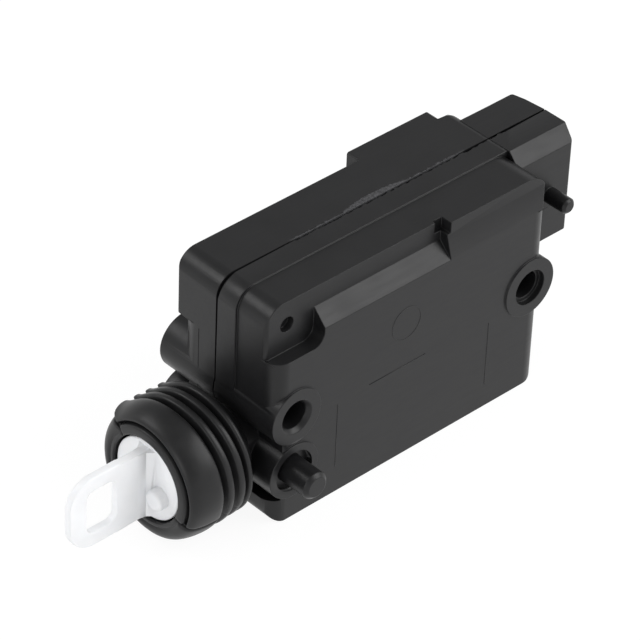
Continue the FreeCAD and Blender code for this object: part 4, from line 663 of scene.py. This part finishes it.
class ACTUATOR_OT_boot(bpy.types.Operator):
    """Models the rubber bellows with its two mould halves, folds and parting creases"""
    bl_idname = "actuator.boot"
    bl_label = "Bellows boot"

    # Points from the lip to the lobe's back: how far behind the front plane, and how far outside the lip,
    # in mm. The upper half of the mould leaves a lip and a wide groove, the lower half bulges over both.
    UPPER_LOBE = (
        (0.0, 0.05), (0.0, 0.4), (0.0, 2.1), (0.2, 2.35), (1.5, 2.45), (1.8, 2.62), (1.5, 2.8), (0.7, 2.9),
        (0.45, 3.2), (0.7, 3.8), (1.5, 4.5), (3.0, 5.0), (4.5, 5.15), (5.8, 5.1), (6.35, 4.8), (6.6, 4.1))
    LOWER_LOBE = (
        (0.0, 0.05), (0.0, 0.3), (0.0, 0.75), (0.05, 0.95), (0.3, 1.15), (0.25, 1.35), (0.05, 1.6),
        (0.0, 2.1), (0.1, 2.8), (0.6, 3.6), (1.5, 4.3), (2.8, 4.85), (4.3, 5.1), (5.5, 5.1), (6.25, 4.85),
        (6.6, 4.1))
    # One fold: how far behind its valley, and how far inside the crest, in mm.
    FOLD = (
        (-0.15, 2.6), (0.2, 2.6), (0.5, 0.9), (0.66, 0.22), (0.9, 0.0), (1.9, 0.0), (2.15, 0.2), (2.35, 0.9))
    FOLDS = 3
    # Outside the first radius the parting creases the wall, and outside the second lie the crests.
    CREASED_FROM = 10.3 * MM
    CRESTS_FROM = 13.6 * MM
    # Angle beside the parting line in which the rubber turns into it.
    CREASE_SPAN = math.radians(15)
    # Directions round the boot, from +Y to +Z, in which the folds lean back least and swell most.
    LEAN_DIRECTION = math.radians(30)
    SWELL_DIRECTION = math.radians(60)

    def execute(self, context):
        settings = context.scene.actuator_boot
        upper = self.profile(self.UPPER_LOBE)
        lower = self.profile(self.LOWER_LOBE)
        bm = bmesh.new()
        point = bm.verts.layers.int.new("point")
        across = (math.cos(settings.parting_angle), math.sin(settings.parting_angle))
        line = []
        for index, (x, radius) in enumerate(upper):
            vert = bm.verts.new((x, AXIS_Y + radius * across[0], AXIS_Z + radius * across[1]))
            vert[point] = index
            line.append(vert)
        edges = [bm.edges.new((line[i - 1], line[i])) for i in range(len(line))]
        bmesh.ops.spin(bm, geom=line + edges, cent=(0, AXIS_Y, AXIS_Z), axis=(1, 0, 0), angle=math.tau,
                       steps=96, use_merge=True)
        bmesh.ops.remove_doubles(bm, verts=bm.verts, dist=TINY)
        sharp = bm.edges.layers.float.new("crease_edge")
        for edge in bm.edges:
            if all(self.off_parting(vert.co, settings) < SAME_ANGLE for vert in edge.verts):
                edge[sharp] = 1.0
        for vert in bm.verts:
            index = vert[point]
            vert.co = self.settled(vert.co, index, upper[index], lower[index], settings)
        rubber = moulded_rubber("black_epdm_rubber", settings.colour, 0.4)
        boot = finished("rubber_bellows", bm, rubber)
        soft = boot.modifiers.new("Soft skin", "SUBSURF")
        soft.levels = soft.render_levels = 1
        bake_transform(boot)
        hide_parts("bellows_boot")
        return {"FINISHED"}

    def profile(self, lobe):
        """Closed line of the wall, from the lip over the lobe and folds to the neck and back inside."""
        front = BOOT_BOX[0].x
        back = BOOT_BOX[1].x
        crest = (BOOT_BOX[1].z - BOOT_BOX[0].z) / 2
        lip = 9.5 * MM
        points = [(front + x * MM, lip + r * MM) for x, r in lobe]
        pitch = 3.0 * MM
        first = front + 7.05 * MM
        for fold in range(self.FOLDS):
            valley = first + fold * pitch
            # Each fold is a little lower than the one in front of it.
            lower = (0.15 * fold + 0.05) * MM
            points += [(valley + x * MM, crest - lower - drop * MM) for x, drop in self.FOLD]
        neck = back - 1.6 * MM
        neck_outside = crest - 4.65 * MM
        neck_inside = crest - 6.2 * MM
        points += [(neck - 1.4 * MM, crest - 2.9 * MM), (neck - 0.8 * MM, crest - 4.3 * MM),
                   (neck, neck_outside), (back, neck_outside),
                   (back, neck_inside), (neck - 0.9 * MM, neck_inside)]
        for fold in reversed(range(self.FOLDS)):
            valley = first + fold * pitch
            points.append((valley + 1.5 * MM, crest - 1.5 * MM))
            points.append((valley, crest - 3.8 * MM))
        points += [(front + 5.5 * MM, crest - 1.3 * MM), (front + 3.2 * MM, crest - 1.9 * MM),
                   (front + 2.4 * MM, lip + 1.2 * MM), (front + 2.4 * MM, lip + 0.05 * MM)]
        return points

    def off_parting(self, place, settings):
        """Angle between a point and the nearer end of the parting line."""
        turn = math.atan2(place.z - AXIS_Z, place.y - AXIS_Y) - settings.parting_angle
        return abs((turn + math.pi / 2) % math.pi - math.pi / 2)

    def settled(self, place, index, upper, lower, settings):
        """Where a point of the spun wall lies on the real, soft and slightly crooked boot."""
        turn = (math.atan2(place.z - AXIS_Z, place.y - AXIS_Y) - settings.parting_angle) % math.tau
        if turn > math.tau - SAME_ANGLE:
            turn = 0.0
        upper_half = turn <= math.pi
        off = (turn + math.pi / 2) % math.pi - math.pi / 2
        on_crease = abs(off) < SAME_ANGLE
        share = 0.5 if on_crease else float(not upper_half)
        x = upper[0] + (lower[0] - upper[0]) * share
        radius = upper[1] + (lower[1] - upper[1]) * share
        span = self.CREASE_SPAN
        if abs(off) < span:
            turn += math.copysign(span * (abs(off) / span) ** 2, off) - off
        # The near end of the parting line lies inside a straight one at the lip and meets it at the crests.
        # The far end lies a quarter further inside, at every radius.
        lip_end = 11.5 * MM
        lip_to_crest = 2.5 * MM
        near = settings.parting_offset * (1 - ramp(radius - lip_end, lip_to_crest))
        far = settings.parting_offset * 1.25
        if upper_half:
            turn = near + turn * (1 - (near + far) / math.pi)
        else:
            turn = math.pi - far + (turn - math.pi) * (1 + (near + far) / math.pi)
        direction = settings.parting_angle + turn
        lobe = index < len(self.UPPER_LOBE)
        outer = index < len(self.UPPER_LOBE) + self.FOLDS * len(self.FOLD)
        crest = outer and radius > self.CRESTS_FROM
        if outer and radius > self.CREASED_FROM:
            if on_crease:
                # Deep in the front lobe, where it also draws the rubber back, and a trace in the folds.
                radius -= settings.crease_depth * (1.0 if lobe else 0.1)
                x += settings.crease_depth * (0.8 if lobe else 0)
            elif crest and abs(off) < span and math.cos(turn) > 0 and upper_half:
                radius += settings.flash_height * (1 - abs(off) / span) ** 2
        # The rubber comes free over a length: behind the lip, outside its inner wall, before the collar.
        lip_depth, lip_fade = 1.5 * MM, 3.5 * MM
        inner_wall, wall_fade = 11.0 * MM, 2.5 * MM
        collar_depth, collar_fade = 2.5 * MM, 5 * MM
        behind = ramp(x - BOOT_BOX[0].x - lip_depth, lip_fade)
        loose = ramp(radius - inner_wall, wall_fade) * behind
        free = ramp(BOOT_BOX[1].x - collar_depth - x, collar_fade)
        set_back = 0.8 * MM
        x += loose * free * (set_back - settings.lean * math.cos(direction - self.LEAN_DIRECTION))
        if upper_half:
            swell_spread = 1.6
            swell = max(0.0, math.cos((direction - self.SWELL_DIRECTION) / swell_spread)) ** 2
            radius += loose * settings.swell * swell
        if loose and free:
            # The wander is mostly inwards.
            lump = 6 * MM
            wander = noise.noise(Vector((x, place.y, place.z)) / lump) - 0.4
            radius += loose * free * settings.unevenness * wander
        return Vector((x, AXIS_Y + radius * math.cos(direction), AXIS_Z + radius * math.sin(direction)))


class ACTUATOR_OT_plunger(bpy.types.Operator):
    """Rounds the edges of the white plunger's tab, pin and flange"""
    bl_idname = "actuator.plunger"
    bl_label = "Plunger"

    def execute(self, context):
        settings = context.scene.actuator_plunger
        bm = merged_copy("plunger_rack")
        plane = settings.flange_plane
        pin_length = 2.3 * MM
        pin = Vector((plane - pin_length, settings.pin_y, settings.pin_z))
        root = plane - settings.flare_length
        # The tab, clear of the pin.
        clear_of_pin = 4 * MM
        self.round(bm, settings.edge_radius, 3, lambda edge: self.all_verts(
            edge, lambda co: co.x < root - TINY and (co - pin).length > clear_of_pin))
        # The pin's end.
        pin_rounding = 0.8 * MM
        pin_reach = 2.5 * MM
        self.round(bm, pin_rounding, 4, lambda edge: self.all_verts(
            edge, lambda co: abs(co.x - pin.x) < TINY and (co - pin).length < pin_reach))
        # The flange's rim.
        rim = 9.0 * MM
        rim_rounding = 0.25 * MM
        self.round(bm, rim_rounding, 3, lambda edge: self.all_verts(
            edge, lambda co: abs(co.x - plane) < TINY and math.hypot(co.y - AXIS_Y, co.z - AXIS_Z) > rim))
        plunger = finished("white_plunger", bm, moulded_acetal("white_moulded_acetal", settings.colour),
                           math.radians(50))
        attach(plunger, "plunger")
        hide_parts("plunger_rack")
        return {"FINISHED"}

    def all_verts(self, edge, test):
        """True if both ends of the edge pass the test."""
        return all(test(vert.co) for vert in edge.verts)

    def round(self, bm, radius, segments, chosen):
        """Rounds the chosen edges that are sharp."""
        sharp = [edge for edge in bm.edges
                 if edge.is_manifold and edge.calc_face_angle() > math.radians(28) and chosen(edge)]
        bevel_edges(bm, sharp, radius, segments)


class ACTUATOR_OT_drive(bpy.types.Operator):
    """Gives the gears, motor, terminals and buffers their materials"""
    bl_idname = "actuator.drive"
    bl_label = "Drive and contacts"

    def execute(self, context):
        finishes = {
            # Natural acetal, injection moulded: warm white and satin.
            "gear_plastic": moulded_acetal("natural_acetal_gears", linear("#dcd8cc"), 0.42),
            # Nylon, injection moulded: warm white, duller than the gears.
            "cap_plastic": moulded_acetal("white_polyamide_cap", linear("#e6e3da"), 0.5),
            # Soft rubber, compression moulded: black and matt.
            "buffer_rubber": moulded_rubber("soft_buffer_rubber", linear("#1a1a1a"), 0.6),
            # Steel rod, ground: bright, with fine lines across it.
            "pin_steel": worked_metal("ground_steel_pin", linear("#c3c6ca"), 0.22, 0.1 * MM, "x"),
            # Sheet steel, deep drawn: grey, with draw marks along the cup.
            "can_steel": worked_metal("drawn_steel_can", linear("#b2b5b8"), 0.34, 0.2 * MM, "y"),
            # Electrical steel, stamped in 0.35 mm sheets and stacked: dull, with lines across the stack.
            "core_steel": worked_metal("stamped_laminations", linear("#8f9295"), 0.4, 0.35 * MM, "x"),
            # Bronze powder, pressed and sintered: brown and dull.
            "bush_bronze": worked_metal("sintered_bronze", linear("#b08a4f"), 0.48, 0.2 * MM, "y"),
            # Brass bar, with cut teeth: yellow and bright, with fine lines along the teeth.
            "pinion_brass": worked_metal("cut_brass", linear("#d1ad59"), 0.26, 0.1 * MM, "y"),
            # Tinned brass strip, stamped and bent: pale yellow, with rolling lines. The springs share it.
            "terminal_brass": worked_metal("stamped_tinned_brass", linear("#d3bd7e"), 0.3, 0.15 * MM, "x"),
            # Copper wire, enamelled and wound: reddish and glossy. The commutator shares it.
            "winding_copper": wound_copper(),
            # Ferrite, pressed and fired: dark and dull. The brushes and the thermistor share it.
            "magnet_ferrite": pressed_ceramic("pressed_ferrite", linear("#38383a"), 0.55),
        }
        for row in frame["record"]["subparts"]:
            node = frame["nodes"][row["node"]]
            if row["material_slot"] in finishes:
                for index in range(len(node.material_slots)):
                    node.material_slots[index].material = finishes[row["material_slot"]]
        return {"FINISHED"}


class ACTUATOR_OT_stage(bpy.types.Operator):
    """Sets up the floor, the soft lights and the camera"""
    bl_idname = "actuator.stage"
    bl_label = "Stage"

    def execute(self, context):
        settings = context.scene.actuator_stage
        self.floor()
        self.world(context.scene, settings)
        self.camera(context.scene, settings)
        focus = Vector((20 * MM, -5 * MM, 0))
        # Each lamp is a softbox: its direction from the focus, distance and diameter in metres, and
        # brightness, where 1 is white.
        self.lamp("front_softbox", focus, Vector((0.55, -0.61, 0.57)), 0.9, 0.72, 4.0)
        self.lamp("corner_softbox", focus, Vector((-0.50, 0.57, 0.66)), 0.9, 0.50, 3.6)
        self.lamp("left_softbox", focus, Vector((-0.90, -0.30, 0.30)), 0.9, 0.44, 2.6)
        scene = context.scene
        scene.view_settings.view_transform = "Standard"
        return {"FINISHED"}

    def seen_white(self, tree):
        """1 for rays from the camera, off a gloss or through glass."""
        rays = add_node(tree, "ShaderNodeLightPath")
        both = calculated(tree, "MAXIMUM", rays.outputs["Is Camera Ray"], rays.outputs["Is Glossy Ray"])
        return calculated(tree, "MAXIMUM", both, rays.outputs["Is Transmission Ray"])

    def floor(self):
        """A matt floor just under the part, which glows to the camera and so is white there."""
        half_width = 4.0
        glow_strength = 1.06
        glow_share = 0.86
        bm = bmesh.new()
        bmesh.ops.create_grid(bm, x_segments=1, y_segments=1, size=half_width)
        bmesh.ops.translate(bm, verts=bm.verts, vec=(0, 0, BOTTOM_Z - 0.05 * MM))
        mesh = bpy.data.meshes.new("pale_floor")
        bm.to_mesh(mesh)
        bm.free()
        floor = bpy.data.objects.new("pale_floor", mesh)
        bpy.context.scene.collection.objects.link(floor)
        material, tree, output = new_material("white_studio_floor")[:3]
        matt = add_node(tree, "ShaderNodeBsdfDiffuse", {"Color": (0.9, 0.9, 0.9, 1)})
        glow = add_node(tree, "ShaderNodeEmission", {"Color": (1, 1, 1, 1), "Strength": glow_strength})
        share = calculated(tree, "MULTIPLY", self.seen_white(tree), glow_share)
        mix = add_node(tree, "ShaderNodeMixShader", {0: share, 1: matt.outputs[0], 2: glow.outputs[0]})
        tree.links.new(mix.outputs[0], output.inputs["Surface"])
        mesh.materials.append(material)

    def world(self, scene, settings):
        """A studio that is white at the horizon and greyer above."""
        world = bpy.data.worlds.new("white_studio")
        scene.world = world
        world.use_nodes = True
        tree = world.node_tree
        tree.nodes.clear()
        direction = add_node(tree, "ShaderNodeTexCoord").outputs["Generated"]
        height = add_node(tree, "ShaderNodeSeparateXYZ", {0: direction}).outputs[2]
        white_up_to, grey_from = 0.1, 0.4
        strength = spread(tree, height, 1.0, settings.ceiling, white_up_to, grey_from)
        background = add_node(tree, "ShaderNodeBackground", {"Color": (1, 1, 1, 1), "Strength": strength})
        output = add_node(tree, "ShaderNodeOutputWorld")
        tree.links.new(background.outputs[0], output.inputs["Surface"])

    def lamp(self, name, focus, direction, distance, size, brightness):
        """A round softbox that faces the focus, with the power that gives its face that brightness."""
        light = bpy.data.lights.new(name, "AREA")
        light.shape = "DISK"
        light.size = size
        light.energy = brightness * math.pi * math.pi * (size / 2) ** 2
        lamp = bpy.data.objects.new(name, light)
        bpy.context.scene.collection.objects.link(lamp)
        lamp.location = focus + direction.normalized() * distance
        lamp.rotation_mode = "QUATERNION"
        lamp.rotation_quaternion = direction.to_track_quat("Z", "Y")

    def camera(self, scene, settings):
        """Camera turned as in the photograph, placed by the corner where the seam meets the top."""
        azimuth, elevation, roll = settings.azimuth, settings.elevation, settings.roll
        back = Vector((math.sin(azimuth) * math.cos(elevation), -math.cos(azimuth) * math.cos(elevation),
                       math.sin(elevation)))
        level = Vector((math.cos(azimuth), math.sin(azimuth), 0))
        upright = back.cross(level)
        right = math.cos(roll) * level + math.sin(roll) * upright
        up = back.cross(right)
        corner = Vector((scene.actuator_housing.body_left, 0, TOP_Z))
        # From that corner to the middle of the picture, in mm.
        aside, below = 20.097, 7.845
        place = corner + right * aside * MM - up * below * MM + back * settings.distance
        data = bpy.data.cameras.new("studio_camera")
        data.lens = settings.lens
        data.sensor_width = 36.0
        data.clip_start = 0.01
        data.clip_end = 20.0
        camera = bpy.data.objects.new("studio_camera", data)
        scene.collection.objects.link(camera)
        turn = Matrix((right, up, back)).transposed().to_4x4()
        camera.matrix_world = Matrix.Translation(place) @ turn
        scene.camera = camera


class ACTUATOR_PT_panel(bpy.types.Panel):
    """Lists the actuator's pieces and their settings"""
    bl_idname = "ACTUATOR_PT_panel"
    bl_label = "Door latch actuator"
    bl_space_type = "VIEW_3D"
    bl_region_type = "UI"
    bl_category = "Actuator"

    def draw(self, context):
        for operator in OPERATORS:
            self.layout.operator(operator.bl_idname)
        for group in SETTINGS:
            settings = getattr(context.scene, group)
            box = self.layout.box()
            for name in settings.__annotations__:
                box.prop(settings, name)


OPERATORS = (ACTUATOR_OT_stage, ACTUATOR_OT_housing, ACTUATOR_OT_mould_marks, ACTUATOR_OT_boot,
             ACTUATOR_OT_plunger, ACTUATOR_OT_drive)
SETTINGS = {
    "actuator_housing": HousingSettings,
    "actuator_flash": FlashSettings,
    "actuator_boot": BootSettings,
    "actuator_plunger": PlungerSettings,
    "actuator_stage": StageSettings,
}


def register():
    for group in SETTINGS.values():
        bpy.utils.register_class(group)
    for operator in OPERATORS:
        bpy.utils.register_class(operator)
    bpy.utils.register_class(ACTUATOR_PT_panel)
    for name, group in SETTINGS.items():
        setattr(bpy.types.Scene, name, bpy.props.PointerProperty(type=group))


def unregister():
    for name in SETTINGS:
        delattr(bpy.types.Scene, name)
    bpy.utils.unregister_class(ACTUATOR_PT_panel)
    for operator in reversed(OPERATORS):
        bpy.utils.unregister_class(operator)
    for group in reversed(SETTINGS.values()):
        bpy.utils.unregister_class(group)


def main():
    register()
    bpy.ops.actuator.stage()
    bpy.ops.actuator.housing()
    bpy.ops.actuator.mould_marks()
    bpy.ops.actuator.boot()
    bpy.ops.actuator.plunger()
    bpy.ops.actuator.drive()


if __name__ == "__main__":
    main()
